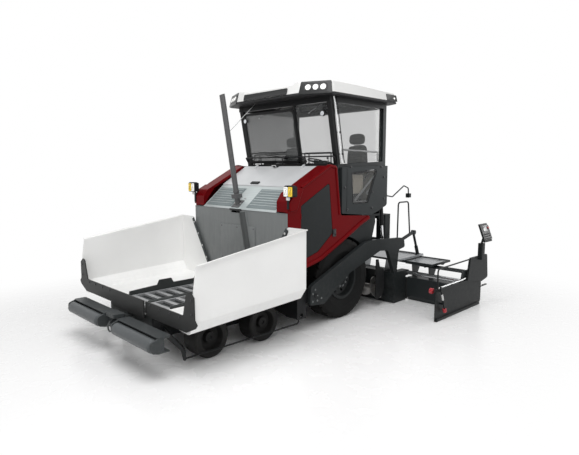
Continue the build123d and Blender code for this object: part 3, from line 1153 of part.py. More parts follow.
GATE_FRONT_Y, GATE_REAR_Y = SCREED_FRONT_Y - 465, 3060
GATE_TOP_Z, GATE_LOW_TOP_Z, GATE_BEND_Y = 554, 470, 2400
GATE_PLATE = 14
gate_in, gate_out = EXT_OUT, EXT_OUT + GATE_PLATE
KNOB_X = EXT_OUT + 70
with BuildPart() as end_gate:
    side_plate(
        [
            (GATE_FRONT_Y, SCREED_Z, 15), (GATE_FRONT_Y, GATE_TOP_Z, 15), (GATE_BEND_Y, GATE_TOP_Z, 60),
            (GATE_REAR_Y, GATE_LOW_TOP_Z, 15), (GATE_REAR_Y, SCREED_Z, 90),
        ],
        (gate_in, gate_out),
    )
    # top rail and runner
    side_plate(
        [
            (GATE_FRONT_Y + 5, GATE_TOP_Z - 34), (GATE_FRONT_Y + 5, GATE_TOP_Z),
            (GATE_BEND_Y, GATE_TOP_Z, 60),
            (GATE_REAR_Y - 5, GATE_LOW_TOP_Z), (GATE_REAR_Y - 5, GATE_LOW_TOP_Z - 34),
            (GATE_BEND_Y, GATE_TOP_Z - 34, 60),
        ],
        (gate_out, gate_out + 30),
    )
    side_plate(
        [
            (GATE_FRONT_Y + 10, SCREED_Z), (GATE_FRONT_Y + 40, 45, 15), (GATE_REAR_Y - 110, 45, 15),
            (GATE_REAR_Y - 95, SCREED_Z),
        ],
        (gate_out, gate_out + 30),
    )
    # box plate at the rear, handrail, and the post with its tilted control panel
    side_plate(
        [
            (GATE_BEND_Y + 13, GATE_TOP_Z - 20), (GATE_BEND_Y + 110, 948, 50), (3190, 948, 50),
            (3254, 490, 40),
            (GATE_REAR_Y, GATE_LOW_TOP_Z - 15),
        ],
        (gate_out, gate_out + 40),
    )
    bent_tube(
        [
            (gate_out + 15, GATE_FRONT_Y + 30, GATE_TOP_Z - 15), (gate_out + 15, GATE_FRONT_Y + 30, 905),
            (gate_out + 15, GATE_BEND_Y + 180, 925),
        ],
        60, 13,
    )
    with BuildSketch(Plane.XY.offset(880)):
        with Locations((gate_out + 50, 2900)):
            RectangleRounded(90, 130, 20)
    extrude(amount=304)
    bar((gate_out + 50, 2900, 1170), (EXT_OUT + 116, 2900, 1380), 20)
    with Locations(Location((EXT_OUT + 120, 2900, 1385), (0, -21, 0))):
        Box(30, 300, 350)
    # crank spindle down the front, the inner adjuster's stub and the handle at the rear
    bar((KNOB_X, GATE_FRONT_Y + 45, 610), (KNOB_X, GATE_FRONT_Y + 225, 170), 13)
    for y, z in ((GATE_FRONT_Y + 70, 545), (GATE_FRONT_Y + 170, 300)):
        block((gate_out, KNOB_X + 16), (y - 18, y + 18), (z - 22, z + 8))
    bar((EXT_OUT - 70, GATE_FRONT_Y + 22, 520), (gate_out, GATE_FRONT_Y + 22, 520), 12)
    bar((gate_out + 4, GATE_REAR_Y - 20, 330), (gate_out + 4, REAR_Y, 330), 10)

# =====================================================================================
# Lift cylinders and the tractor's rear body
# =====================================================================================
lift_run = (Vector(0, *LIFT_FOOT) - Vector(0, *LIFT_TOP)).normalized()
lift_length = (Vector(0, *LIFT_FOOT) - Vector(0, *LIFT_TOP)).length


def lift_point(along):
    """A point of the lift cylinder's axis, measured down from its top pin."""
    return (LIFT_X, LIFT_TOP[0] + lift_run.Y * along, LIFT_TOP[1] + lift_run.Z * along)


with BuildPart() as lift_barrel:
    bar(lift_point(0), lift_point(410), LIFT_R)
    bar((LIFT_X - 30, *LIFT_TOP), (LIFT_X + 30, *LIFT_TOP), 40)
    bar((LIFT_X - 40, *LIFT_TOP), (LIFT_X + 40, *LIFT_TOP), 20 + RUN_GAP, mode=Mode.SUBTRACT)
    bar(lift_point(70), lift_point(420), 25 + RUN_GAP, mode=Mode.SUBTRACT)

with BuildPart() as lift_rod:
    bar(lift_point(355), lift_point(lift_length), 25)
    bar((LIFT_X - 30, *LIFT_FOOT), (LIFT_X + 30, *LIFT_FOOT), 40)

BODY_REAR_Y = 1500
GUARD_INNER_R, GUARD_OUTER_R = REAR_R + 45, REAR_R + 53
with BuildPart() as rear_body:
    block((300 - HALF_WIDTH, HALF_WIDTH - 300), (1220, BODY_REAR_Y), (1120, PLATFORM_Z - 40))
    for side in (-1, 1):
        # hanger of the lift cylinder: a cross plate, two ears and the pin
        low, high = sorted((side * (HALF_WIDTH - 320), side * (LIFT_X + 50)))
        block((low, high), (BODY_REAR_Y - 14, BODY_REAR_Y), (1650, 1960))
        for x in (LIFT_X - 56, LIFT_X + 44):
            low, high = sorted((side * x, side * (x + 12)))
            side_plate(
                [
                    (BODY_REAR_Y - 14, 1870), (BODY_REAR_Y - 14, 1960), (LIFT_TOP[0] + 10, 1965, 30),
                    (LIFT_TOP[0] + 50, 1940, 25), (LIFT_TOP[0] + 50, 1890, 25), (LIFT_TOP[0], 1880, 20),
                ],
                (low, high),
            )
        bar((side * (LIFT_X - 56), *LIFT_TOP), (side * (LIFT_X + 56), *LIFT_TOP), 20)
        # fender: a plate with the wheel's arch cut out, and the guard over the tyre
        low, high = sorted((side * (HALF_WIDTH - 100), side * (HALF_WIDTH - 62)))
        side_plate(
            [
                (330, 1420), (360, 1600, 60), (700, PLATFORM_Z - 40, 60), (1360, PLATFORM_Z - 40, 20),
                (1372, 1600, 30), (1270, 1290, 40), (1080, 1180),
            ],
            (low, high),
        )
        low, high = sorted((side * (rear_in - 15), side * (HALF_WIDTH - 62)))
        with BuildSketch(Plane.YZ.offset(low)) as guard:
            with Locations((REAR_AXLE_Y, REAR_R)):
                Circle(GUARD_OUTER_R)
                Circle(GUARD_INNER_R, mode=Mode.SUBTRACT)
            Polygon(
                (REAR_AXLE_Y - 120, 900), (REAR_AXLE_Y - 120, 1600), (REAR_AXLE_Y + 900, 1600),
                (REAR_AXLE_Y + 900, 1120), (REAR_AXLE_Y + 100, 900), align=None, mode=Mode.INTERSECT,
            )
        extrude(amount=high - low)
        with BuildSketch(Plane.YZ.offset(low)):
            with Locations((REAR_AXLE_Y, REAR_R)):
                Circle(GUARD_INNER_R)
        extrude(amount=high - low, mode=Mode.SUBTRACT)
    # ladder at the middle of the rear
    for x in (-262, 250):
        side_plate(
            [(BODY_REAR_Y - 5, 1690), (BODY_REAR_Y + 40, 1690, 20), (BODY_REAR_Y + 110, 1010, 20),
             (BODY_REAR_Y + 70, 1010, 20), (BODY_REAR_Y - 5, 1500)],
            (x, x + 12),
        )
    for z in (1060, 1280, 1500):
        lean = BODY_REAR_Y + 20 + (1690 - z) * 0.1
        block((-255, 255), (lean, lean + 40), (z, z + 12))

# =====================================================================================
# Write every piece
# =====================================================================================
single_pieces = {
    "frame_rails": frame_rails, "tunnel_plates": tunnel_plates, "engine": engine, "conveyors": conveyors,
    "bulkhead": bulkhead, "side_frames": side_frames, "hood_front": hood_front, "engine_hood": engine_hood,
    "exhaust_stack": exhaust_stack, "headlamps": headlamps, "platform": platform, "cab_frame": cab_frame,
    "roof": roof, "cab_side_panels": cab_side_panels, "cab_glass": cab_glass, "console": console,
    "seat_cushions": seat_cushions, "front_bogies": front_bogies, "final_drives": final_drives,
    "centre_flap": centre_flap, "push_beam": push_beam, "auger_carrier": auger_carrier, "tow_arms": tow_arms,
    "screed_body": screed_body, "screed_walkway": screed_walkway, "rear_body": rear_body,
}
for name, piece in single_pieces.items():
    keep(piece.part, name)

mirrored_pieces = {
    "side_door": side_door, "rear_tyre": rear_tyre, "rear_rim": rear_rim, "hopper_wing": hopper_wing,
    "wing_flap": wing_flap, "ram_barrel": ram_barrel, "ram_rod": ram_rod, "push_roller": push_roller,
    "auger": auger, "extension": extension, "end_gate": end_gate, "lift_barrel": lift_barrel,
    "lift_rod": lift_rod,
}
for name, piece in mirrored_pieces.items():
    keep_pair(piece.part, name)

for name, y in zip(("front", "middle"), steered_wheels_y):
    keep_pair(steering_knuckle(y), f"{name}_knuckle")
    keep_pair(front_wheel(y), f"{name}_wheel")
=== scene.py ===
"""Looks of a wheeled asphalt paver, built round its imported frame.

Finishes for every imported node, the seats' padding, lamps, small fittings, and the stage.
"""

import json
from functools import partial
from math import atan2, cos, pi, radians, sin

import bmesh
import bpy
import numpy as np
from mathutils import Matrix, Vector

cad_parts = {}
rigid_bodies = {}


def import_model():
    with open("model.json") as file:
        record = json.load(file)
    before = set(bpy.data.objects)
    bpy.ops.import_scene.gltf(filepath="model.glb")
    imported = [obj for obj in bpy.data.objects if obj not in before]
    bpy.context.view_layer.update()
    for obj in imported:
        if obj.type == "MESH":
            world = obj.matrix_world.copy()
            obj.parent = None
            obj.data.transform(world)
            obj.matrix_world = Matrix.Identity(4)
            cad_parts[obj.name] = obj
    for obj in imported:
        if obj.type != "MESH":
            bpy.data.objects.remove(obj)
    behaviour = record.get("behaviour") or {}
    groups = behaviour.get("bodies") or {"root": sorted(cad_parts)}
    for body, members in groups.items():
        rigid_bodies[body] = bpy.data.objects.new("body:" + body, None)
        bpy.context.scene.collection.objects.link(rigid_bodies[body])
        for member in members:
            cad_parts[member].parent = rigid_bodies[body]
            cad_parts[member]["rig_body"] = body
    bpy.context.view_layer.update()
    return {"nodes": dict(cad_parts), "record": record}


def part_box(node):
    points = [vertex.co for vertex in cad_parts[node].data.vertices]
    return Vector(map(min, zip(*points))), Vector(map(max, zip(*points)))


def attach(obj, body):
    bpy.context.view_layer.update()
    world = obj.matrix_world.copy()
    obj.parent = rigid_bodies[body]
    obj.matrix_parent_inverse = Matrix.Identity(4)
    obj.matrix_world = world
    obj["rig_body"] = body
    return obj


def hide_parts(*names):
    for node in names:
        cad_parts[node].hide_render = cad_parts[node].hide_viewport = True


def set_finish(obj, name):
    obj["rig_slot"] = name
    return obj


bl_info = {
    "name": "Asphalt paver looks",
    "version": (1, 0, 0),
    "blender": (4, 5, 0),
    "location": "3D View > Sidebar > Paver",
    "description": "Finishes, seats, lamps, fittings and stage of a wheeled asphalt paver",
    "category": "Object",
}

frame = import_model()
COLOURS = {entry["slot"]: tuple(entry["base_color"]) for entry in frame["record"]["materials"]}
NODE_SLOTS = {entry["node"]: entry["material_slot"] for entry in frame["record"]["subparts"]}
SIDES = (("left", 1), ("right", -1))

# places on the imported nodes, in metres
GUIDE = (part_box("screed_body")[1][1] - 0.055, 0.540)  # y and z of the extensions' guide tubes
GUIDE_RADIUS = 0.040
DRIVE_AXLE = (0.450, 0.685)  # y and z
TREAD_RADIUS = 0.62
ARM_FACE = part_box("tow_arms")[1][0]
DOOR_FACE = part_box("side_door_left")[1][0]
FASCIA_LEAN = radians(15)
HOOD_LEAN = radians(32)
SEAT = (0.825, 0.940)  # x and y of the left seat's middle
DECK = (1.50, 2.520)  # x and y of the left extension deck's middle
GATE_ROD_X = 2.428

# colours that several finishes share
DUST = (0.42, 0.39, 0.35)
FRAME_BLACK = (0.012, 0.0127, 0.0135)
WHITE = (1, 1, 1, 1)


# ---------------------------------------------------------------------------------------
# Finishes: sockets in expressions, and the recipes that use them
# ---------------------------------------------------------------------------------------
class Wire:
    """A shader socket that works in Python expressions; each operation adds its Math node."""

    def __init__(self, nodes, socket):
        self.nodes = nodes
        self.socket = socket

    def maths(self, operation, *terms):
        return self.nodes.node("ShaderNodeMath", {"operation": operation}, dict(enumerate(terms)))

    def __add__(self, other):
        return self.maths("ADD", self, other)

    def __radd__(self, other):
        return self.maths("ADD", other, self)

    def __sub__(self, other):
        return self.maths("SUBTRACT", self, other)

    def __rsub__(self, other):
        return self.maths("SUBTRACT", other, self)

    def __mul__(self, other):
        return self.maths("MULTIPLY", self, other)

    def __rmul__(self, other):
        return self.maths("MULTIPLY", other, self)

    def __abs__(self):
        return self.maths("ABSOLUTE", self)

    def wave(self):
        return self.maths("SINE", self)

    def root(self):
        return self.maths("SQRT", self)

    def at_least(self, other):
        return self.maths("MAXIMUM", self, other)

    def at_most(self, other):
        return self.maths("MINIMUM", self, other)

    def fade(self, low, high):
        """0 at low and below, 1 at high and above, and even in between."""
        return self.nodes.node(
            "ShaderNodeMapRange", {}, {"Value": self, "From Min": low, "From Max": high}
        )


class Nodes:
    """The node tree of a material or a world."""

    def __init__(self, owner):
        owner.use_nodes = True
        self.tree = owner.node_tree
        self.tree.nodes.clear()

    def node(self, kind, settings=None, values=None, output=0):
        """Adds a node: its settings first, then its sockets' values or links."""
        made = self.tree.nodes.new(kind)
        for key, value in (settings or {}).items():
            setattr(made, key, value)
        for key, value in (values or {}).items():
            if isinstance(value, Wire):
                self.tree.links.new(value.socket, made.inputs[key])
            else:
                made.inputs[key].default_value = value
        return Wire(self, made.outputs[output] if made.outputs else None)

    def rays(self):
        """1 for what the camera sees directly, in gloss or through glass, and 0 for other light."""
        seen, gloss, through = (
            self.node("ShaderNodeLightPath", output=f"Is {ray} Ray")
            for ray in ("Camera", "Glossy", "Transmission")
        )
        return (seen + gloss + through).at_most(1.0)


class Finish(Nodes):
    """One procedural material, read from the piece's own coordinates."""

    def __init__(self, name):
        self.material = bpy.data.materials.new(name)
        super().__init__(self.material)
        self.place = self.node("ShaderNodeTexCoord", output="Object")
        self.x, self.y, self.z = (
            self.node("ShaderNodeSeparateXYZ", {}, {0: self.place}, output=axis) for axis in (0, 1, 2)
        )

    def noise(self, scale, detail=3.0, rough=0.5, stretch=None):
        vector = self.place
        if stretch:
            vector = self.node("ShaderNodeMapping", {}, {"Vector": self.place, "Scale": stretch})
        return self.node(
            "ShaderNodeTexNoise", {},
            {"Vector": vector, "Scale": scale, "Detail": detail, "Roughness": rough},
        )

    def clouds(self, scale):
        """Slow patches from 0 to 1."""
        return self.noise(scale, 2).fade(0.3, 0.7)

    def blend(self, first, second, factor):
        """A colour between first and second."""
        return self.node(
            "ShaderNodeMix", {"data_type": "RGBA"}, {0: factor, 6: opaque(first), 7: opaque(second)},
            output=2,
        )

    def toned(self, colour, darkest, lightest, factor):
        """A colour that varies between two shares of itself."""
        return self.blend(shade(colour, darkest), shade(colour, lightest), factor)

    def relief(self, height, strength, distance, edge=None):
        """Bumps from a height, over edges that are softened by a radius."""
        values = {"Strength": strength, "Distance": distance, "Height": height}
        if edge:
            values["Normal"] = self.node("ShaderNodeBevel", {"samples": 4}, {"Radius": edge})
        return self.node("ShaderNodeBump", {}, values)

    def peel(self, strength, edge=0.004):
        """The fine unevenness of sprayed paint."""
        return self.relief(self.noise(260, 2), strength, 0.0006, edge)

    def distance(self, axis):
        """How far a point is from an axle or tube that runs across the machine, at y and z."""
        y, z = self.y - axis[0], self.z - axis[1]
        return (y * y + z * z).root()

    def surface(self, **values):
        """The shader itself; a key is the socket's name with _ for its spaces."""
        sockets = {key.replace("_", " "): opaque(value) for key, value in values.items()}
        return self.shown(self.node("ShaderNodeBsdfPrincipled", {}, sockets))

    def shown(self, shader):
        """The material, with a shader at its output."""
        self.node("ShaderNodeOutputMaterial", {}, {"Surface": shader})
        return self.material


def opaque(value):
    """A colour with its alpha; anything else as it is."""
    if isinstance(value, (tuple, list)) and len(value) == 3:
        return (*value, 1.0)
    return value


def shade(colour, by):
    return tuple(min(1.0, c * by) for c in colour[:3])


def settings():
    return bpy.context.scene.paver


def sizes():
    return bpy.context.scene.paver_sizes


def paint(name, colour, rough=0.38, coat=0.1, grime=0.04, peel=0.04, edge=0.004, metal=0.0, gloss=0.12):
    """Sprayed paint: a slow change of tone, fine peel, and dust that gathers low down."""
    f = Finish(name)
    speck = f.noise(18, 5, 0.6)
    low = f.z.fade(1.3, 0.1)
    dusty = speck.fade(0.42, 0.75) * (low * 0.8 + 0.2) * grime
    return f.surface(
        Base_Color=f.blend(f.toned(colour, 0.93, 1.06, f.clouds(1.4)), DUST, dusty), Metallic=metal,
        Roughness=rough + (speck - 0.5) * 0.03 + dusty * 0.4, Specular_IOR_Level=gloss,
        Coat_Weight=coat, Coat_Roughness=0.08, Normal=f.peel(peel, edge),
    )


def worn_steel(name, colour, rough, metal, rub):
    """Bare steel, rubbed brighter in streaks along the machine."""
    f = Finish(name)
    rubbed = f.noise(3, 5, 0.65, stretch=(30, 1, 12)).fade(0.4, 0.7) * rub
    spots = f.noise(45, 4, 0.6)
    return f.surface(
        Base_Color=f.blend(f.blend(shade(colour, 0.75), colour, spots), shade(colour, 1.5), rubbed),
        Metallic=metal, Roughness=rough + (spots - 0.5) * 0.3 - rubbed * 0.15,
        Normal=f.relief(spots, 0.2, 0.0008, edge=0.003),
    )


def rubber(name, colour, rough, dust, grain=90):
    """Moulded rubber with a fine grain and a film of dust."""
    f = Finish(name)
    film = f.noise(7, 5, 0.6).fade(0.35, 0.75) * dust
    fine = f.noise(grain * 4, 3)
    return f.surface(
        Base_Color=f.blend(f.toned(colour, 0.8, 1.3, f.noise(3, 3)), DUST, film * 0.35),
        Roughness=rough + film * 0.2 + (fine - 0.5) * 0.1, Specular_IOR_Level=0.2,
        Normal=f.relief(fine, 0.25, 0.0008, edge=0.003),
    )


def tyre_rubber():
    """Drive tyre: smooth ribbed side walls, and a rougher tread that carries more dust."""
    f = Finish("drive_tyre_rubber")
    radius = f.distance(DRIVE_AXLE)
    tread = radius.fade(TREAD_RADIUS - 0.05, TREAD_RADIUS - 0.01)
    ribs = (radius * 420.0).wave()
    film = f.noise(9, 5, 0.6).fade(0.3, 0.75)
    fine = f.noise(260, 3)
    return f.surface(
        Base_Color=f.blend((0.0055, 0.0058, 0.0058), DUST, film * (tread * 0.02 + 0.005)),
        Roughness=0.62 + tread * 0.15 + (fine - 0.5) * 0.1, Specular_IOR_Level=0.12,
        Normal=f.relief(fine * 0.6 + ribs * (1 - tread) * 0.25, 0.35, 0.0012, edge=0.004),
    )


def tinted_glass():
    """Grey tinted panes: the wide windscreen darker, most of all near its top, the others clearer."""
    f = Finish("tinted_pane")
    haze = f.noise(2.5, 3)
    wide = (1 - f.x.fade(0.29, 0.31)) * (1 - f.y.fade(0.31, 0.33)) * (1 - abs(f.x).fade(1.07, 1.09))
    rise = f.z.fade(2.7, 3.6)
    return f.surface(
        Base_Color=f.toned((0.10, 0.105, 0.105), 0.85, 1.2, haze),
        Alpha=0.30 + wide * 0.22 + wide * rise * 0.10 + (haze - 0.5) * 0.05,
        Roughness=0.03 + haze * 0.03, Specular_IOR_Level=0.6,
    )


def lens(name, colour, glow):
    """Moulded lamp lens with fine upright ribs over a bright reflector."""
    f = Finish(name)
    ribs_per_metre = 90
    ribs = (f.x * ribs_per_metre * 2 * pi).wave()
    depth = f.noise(40, 2)
    return f.surface(
        Base_Color=f.blend(shade(colour, 0.82), colour, ribs.fade(-1, 1) * 0.5 + depth * 0.5),
        Roughness=0.12 + depth * 0.08, Coat_Weight=0.6, Coat_Roughness=0.04,
        Emission_Color=colour, Emission_Strength=glow, Normal=f.relief(ribs, 0.3, 0.0008),
    )


def moulded(name, colour, rough, grain, coat=0.0):
    """Textured moulded plastic."""
    f = Finish(name)
    cells = f.node("ShaderNodeTexVoronoi", {}, {"Vector": f.place, "Scale": 420})
    return f.surface(
        Base_Color=f.toned(colour, 0.85, 1.12, f.noise(5, 3)),
        Roughness=rough + (f.noise(30, 3) - 0.5) * 0.12, Coat_Weight=coat, Specular_IOR_Level=0.3,
        Normal=f.relief(cells, grain, 0.0006, edge=0.004),
    )


def woven(name, colour):
    """Seat cloth: crossed threads with a little fuzz."""
    f = Finish(name)
    across_x, across_y, across_z = ((axis * 2600.0).wave() for axis in (f.x, f.y, f.z))
    weave = across_x * across_y + across_y * across_z + across_x * across_z
    worn = f.noise(7, 4)
    return f.surface(
        Base_Color=f.toned(colour, 0.7, 1.35, weave.fade(-1.2, 1.2) * 0.5 + worn * 0.5),
        Roughness=0.82 + (worn - 0.5) * 0.15, Sheen_Weight=0.25, Sheen_Roughness=0.5,
        Normal=f.relief(weave * 0.5 + f.noise(300, 2), 0.35, 0.0008),
    )


def tread_plate():
    """Walkway plate with raised slanted lugs, rubbed bright on top."""
    f = Finish("walkway_tread")
    turns = 2 * pi / 0.03
    lugs = (((f.x + f.y) * turns).wave() * ((f.x - f.y) * turns).wave()).fade(0.35, 0.7)
    patch = f.noise(5, 4)
    return f.surface(
        Base_Color=f.toned((0.30, 0.31, 0.32), 0.8, 1.25, lugs * 0.6 + patch * 0.4), Metallic=0.7,
        Roughness=0.34 + (patch - 0.5) * 0.2 - lugs * 0.06,
        Normal=f.relief(lugs, 0.5, 0.0015, edge=0.003),
    )


def roof_panel():
    """White moulded fascia over a black underside and lining."""
    f = Finish("roof_fascia")
    lined = (1 - abs(f.x).fade(1.058, 1.062)) * (1 - abs(f.y - 0.9).fade(0.748, 0.752))
    lined = lined * (1 - f.z.fade(3.856, 3.86))
    under = 1 - f.z.fade(3.766, 3.770)
    dark = lined.at_least(under)
    speck = f.noise(14, 5, 0.6)
    white = f.toned(settings().roof, 0.95, 1.03, f.noise(1.3, 2))
    black = f.blend((0.008, 0.008, 0.009), (0.016, 0.016, 0.017), speck)
    return f.surface(
        Base_Color=f.blend(white, black, dark),
        Roughness=0.32 + dark * 0.3 + (speck - 0.5) * 0.04, Specular_IOR_Level=0.25,
        Coat_Weight=0.25 - dark * 0.2, Coat_Roughness=0.15,
        Normal=f.relief(f.noise(300, 2), 0.02, 0.0004, edge=0.008),
    )


def hopper_paint():
    """White paint, scuffed grey along the lower strip and on the floor where the load slides."""
    f = Finish("hopper_white_paint")
    colour = settings().hopper
    low = f.z.fade(0.9, 0.62)
    worn = f.noise(5, 6, 0.7, stretch=(1, 0.25, 6)).fade(0.45, 0.7) * low * 0.2
    dusty = f.noise(16, 5, 0.6).fade(0.4, 0.8) * (low * 0.10 + 0.02)
    tone = f.blend(f.toned(colour, 0.96, 1.02, f.clouds(1.2)), shade(colour, 0.72), worn)
    return f.surface(
        Base_Color=f.blend(tone, DUST, dusty), Roughness=0.36 + worn * 0.3 + dusty * 0.3,
        Coat_Weight=0.25 - worn * 0.2, Coat_Roughness=0.15,
        Normal=f.relief(f.noise(240, 2) + worn * 0.5, 0.03, 0.0006, edge=0.005),
    )


def hood_sheet():
    """Grey-green metallic lower hood with pressed lines across it."""
    f = Finish("lower_hood_metal")
    colour = settings().hood
    pressed = (f.y * 190.0).wave().fade(0.2, 0.9)
    grain = f.noise(3, 6, 0.7, stretch=(0.3, 40, 40))
    cloud = f.noise(1.6, 3).fade(0.3, 0.7)
    tone = f.toned(colour, 0.78, 1.25, cloud * 0.7 + grain * 0.3)
    return f.surface(
        Base_Color=f.blend(tone, shade(colour, 0.85), pressed * 0.3), Metallic=0.15,
        Roughness=0.26 + grain * 0.16, Coat_Weight=0.5, Coat_Roughness=0.08,
        Normal=f.relief(pressed, 0.35, 0.0015, edge=0.003),
    )


def upper_hood_sheet():
    """Silver upper hood, with a gloss that clouds slowly across it, dark past its hinge."""
    f = Finish("upper_hood_silver")
    grain = f.noise(3, 6, 0.7, stretch=(0.3, 30, 30))
    cloud = f.noise(1.4, 3).fade(0.3, 0.7)
    tone = f.toned((0.60, 0.61, 0.62), 0.88, 1.08, cloud * 0.7 + grain * 0.3)
    return f.surface(
        Base_Color=f.blend(tone, (0.02, 0.02, 0.022), f.y.fade(0.040, 0.044)), Metallic=0.2,
        Roughness=0.34 + grain * 0.14, Specular_IOR_Level=0.3, Coat_Weight=0.2, Coat_Roughness=0.15,
        Normal=f.relief(grain, 0.06, 0.0006, edge=0.004),
    )


def bulkhead_plate():
    """Mid-grey plate with darker upright streaks that grow stronger towards the bottom, and the duct down it
    painted near-black.
    """
    f = Finish("bulkhead_plate")
    streak = f.noise(4, 6, 0.7, stretch=(5, 1, 0.6))
    low = f.z.fade(1.9, 0.9)
    tone = f.toned((0.17, 0.18, 0.18), 1.08, 0.78, streak.fade(0.35, 0.7) * (low * 0.6 + 0.2))
    # the duct that stands out in front of the plate is painted near-black
    duct = f.y.fade(-0.963, -0.975) * f.z.fade(1.885, 1.865)
    dusty = f.blend(tone, DUST, f.noise(12, 5).fade(0.45, 0.8) * low * 0.12)
    return f.surface(
        Base_Color=f.blend(dusty, (0.028, 0.031, 0.031), duct * 0.9), Metallic=0.1,
        Roughness=0.36 + (streak - 0.5) * 0.2, Specular_IOR_Level=0.3,
        Coat_Weight=0.08, Coat_Roughness=0.15,
        Normal=f.relief(f.noise(200, 2), 0.12, 0.0006, edge=0.004),
    )


def conveyor_steel():
    """Conveyor floor: steel plates rubbed bright lengthways, flecked with tar, and darkened below the bars'
    tops as painted shade between the bars.
    """
    f = Finish("conveyor_steel")
    rubbed = f.noise(4, 6, 0.7, stretch=(10, 0.6, 10)).fade(0.4, 0.7)
    tar = f.noise(8, 5, 0.6).fade(0.5, 0.75)
    # painted shade: below 0.60 m, down between the bars, the steel darkens most of the way to near-black
    low = f.z.fade(0.6, 0.56)
    tone = f.blend((0.30, 0.31, 0.32), (0.50, 0.50, 0.50), rubbed)
    return f.surface(
        Base_Color=f.blend(tone, (0.02, 0.02, 0.02), tar * 0.25 + low * 0.6), Metallic=0.5,
        Roughness=0.5 - rubbed * 0.15 + tar * 0.2,
        Normal=f.relief(rubbed + tar, 0.25, 0.001, edge=0.003),
    )


def chrome_rod():
    """Hard chrome with the faintest oil film."""
    f = Finish("chrome_rod")
    film = f.noise(14, 4, 0.6)
    return f.surface(
        Base_Color=f.blend((0.66, 0.67, 0.68), (0.8, 0.81, 0.82), film), Metallic=1.0,
        Roughness=0.08 + film.fade(0.45, 0.8) * 0.2,
    )


def mirror_glass():
    """Silvered glass under a thin film."""
    f = Finish("mirror_glass")
    film = f.noise(9, 3)
    return f.surface(
        Base_Color=f.blend((0.55, 0.57, 0.6), (0.7, 0.72, 0.74), film), Metallic=1.0,
        Roughness=0.03 + film * 0.05,
    )


def extension_paint():
    """Slate paint on the screed extensions, with the bare chromed guide tube that they slide on."""
    f = Finish("extension_paint")
    on_tube = f.distance(GUIDE).fade(GUIDE_RADIUS + 0.0025, GUIDE_RADIUS + 0.0005)
    speck = f.noise(18, 5, 0.6)
    tone = f.toned(settings().panels, 0.93, 1.06, f.clouds(1.4))
    return f.surface(
        Base_Color=f.blend(tone, (0.62, 0.63, 0.64), on_tube), Metallic=on_tube * 0.9,
        Roughness=0.42 + (speck - 0.5) * 0.12 - on_tube * 0.24, Specular_IOR_Level=0.22,
        Normal=f.peel(0.04),
    )


def cab_paint():
    """Slate cab frame, black on the front posts and all round under the roof."""
    f = Finish("cab_frame_paint")
    front_posts = f.y.fade(0.50, 0.44) * f.z.fade(2.60, 2.64)
    black = front_posts.at_least(f.z.fade(3.56, 3.62))
    speck = f.noise(18, 5, 0.6)
    tone = f.toned(settings().panels, 0.95, 1.3, f.clouds(1.4))
    return f.surface(
        Base_Color=f.blend(tone, (0.009, 0.0095, 0.010), black), Roughness=0.42 + (speck - 0.5) * 0.12,
        Specular_IOR_Level=0.14, Coat_Weight=0.04, Coat_Roughness=0.08, Normal=f.peel(0.04),
    )


def rails_paint():
    """Near-black frame paint, worn to grey on the plates that stand inside the hopper."""
    f = Finish("frame_rails_paint")
    inside = f.z.fade(0.60, 0.64) * f.y.fade(-0.95, -1.0)
    rubbed = f.noise(5, 6, 0.7, stretch=(8, 0.8, 8)).fade(0.35, 0.7)
    worn = f.blend((0.045, 0.048, 0.050), (0.10, 0.105, 0.11), rubbed)
    return f.surface(
        Base_Color=f.blend(FRAME_BLACK, worn, inside), Roughness=0.45 - inside * rubbed * 0.12,
        Specular_IOR_Level=0.16, Normal=f.relief(f.noise(240, 2), 0.06, 0.0006, edge=0.004),
    )


def panel_paint(name, share, rough=0.42, coat=0.04):
    """The panels' slate paint, in a share of its colour; a share above one is painted light, a share below
    one painted shade.
    """
    return paint(name, shade(settings().panels, share), rough, coat, peel=0.02)


STEELS = (  # finish, material, colour, roughness, metallic, share rubbed bright
    ("engine_iron", "engine_casting", COLOURS["engine_iron"], 0.6, 0.4, 0.2),
    ("auger_steel", "auger_steel", COLOURS["auger_steel"], 0.4, 0.8, 0.7),
    ("bolt_zinc", "bolt_zinc", (0.55, 0.55, 0.54), 0.35, 0.9, 0.3),
    ("bolt_dark", "bolt_black", (0.04, 0.04, 0.043), 0.45, 0.5, 0.3),
    ("bolt_grey", "bolt_grey", (0.16, 0.17, 0.17), 0.45, 0.5, 0.3),
)
PLASTICS = (  # finish, material, colour, roughness, grain, coat
    ("console_black", "console_plastic", (0.016, 0.016, 0.017), 0.42, 0.2, 0.1),
    ("black_plastic", "black_plastic", (0.007, 0.007, 0.008), 0.4, 0.15, 0.1),
    ("pod_grey", "pod_plastic", (0.010, 0.0105, 0.011), 0.36, 0.1, 0.08),
    ("white_plastic", "white_plastic", (0.80, 0.80, 0.79), 0.32, 0.1, 0.3),
    ("red_plastic", "red_knob_plastic", (0.42, 0.03, 0.04), 0.3, 0.15, 0.5),
    ("beige_trim", "beige_trim", (0.60, 0.54, 0.44), 0.6, 0.3, 0.0),
    ("screen_black", "screen_face", (0.012, 0.014, 0.018), 0.12, 0.05, 0.6),
    ("seat_shell", "seat_shell", (0.03, 0.03, 0.032), 0.45, 0.3, 0.0),
)
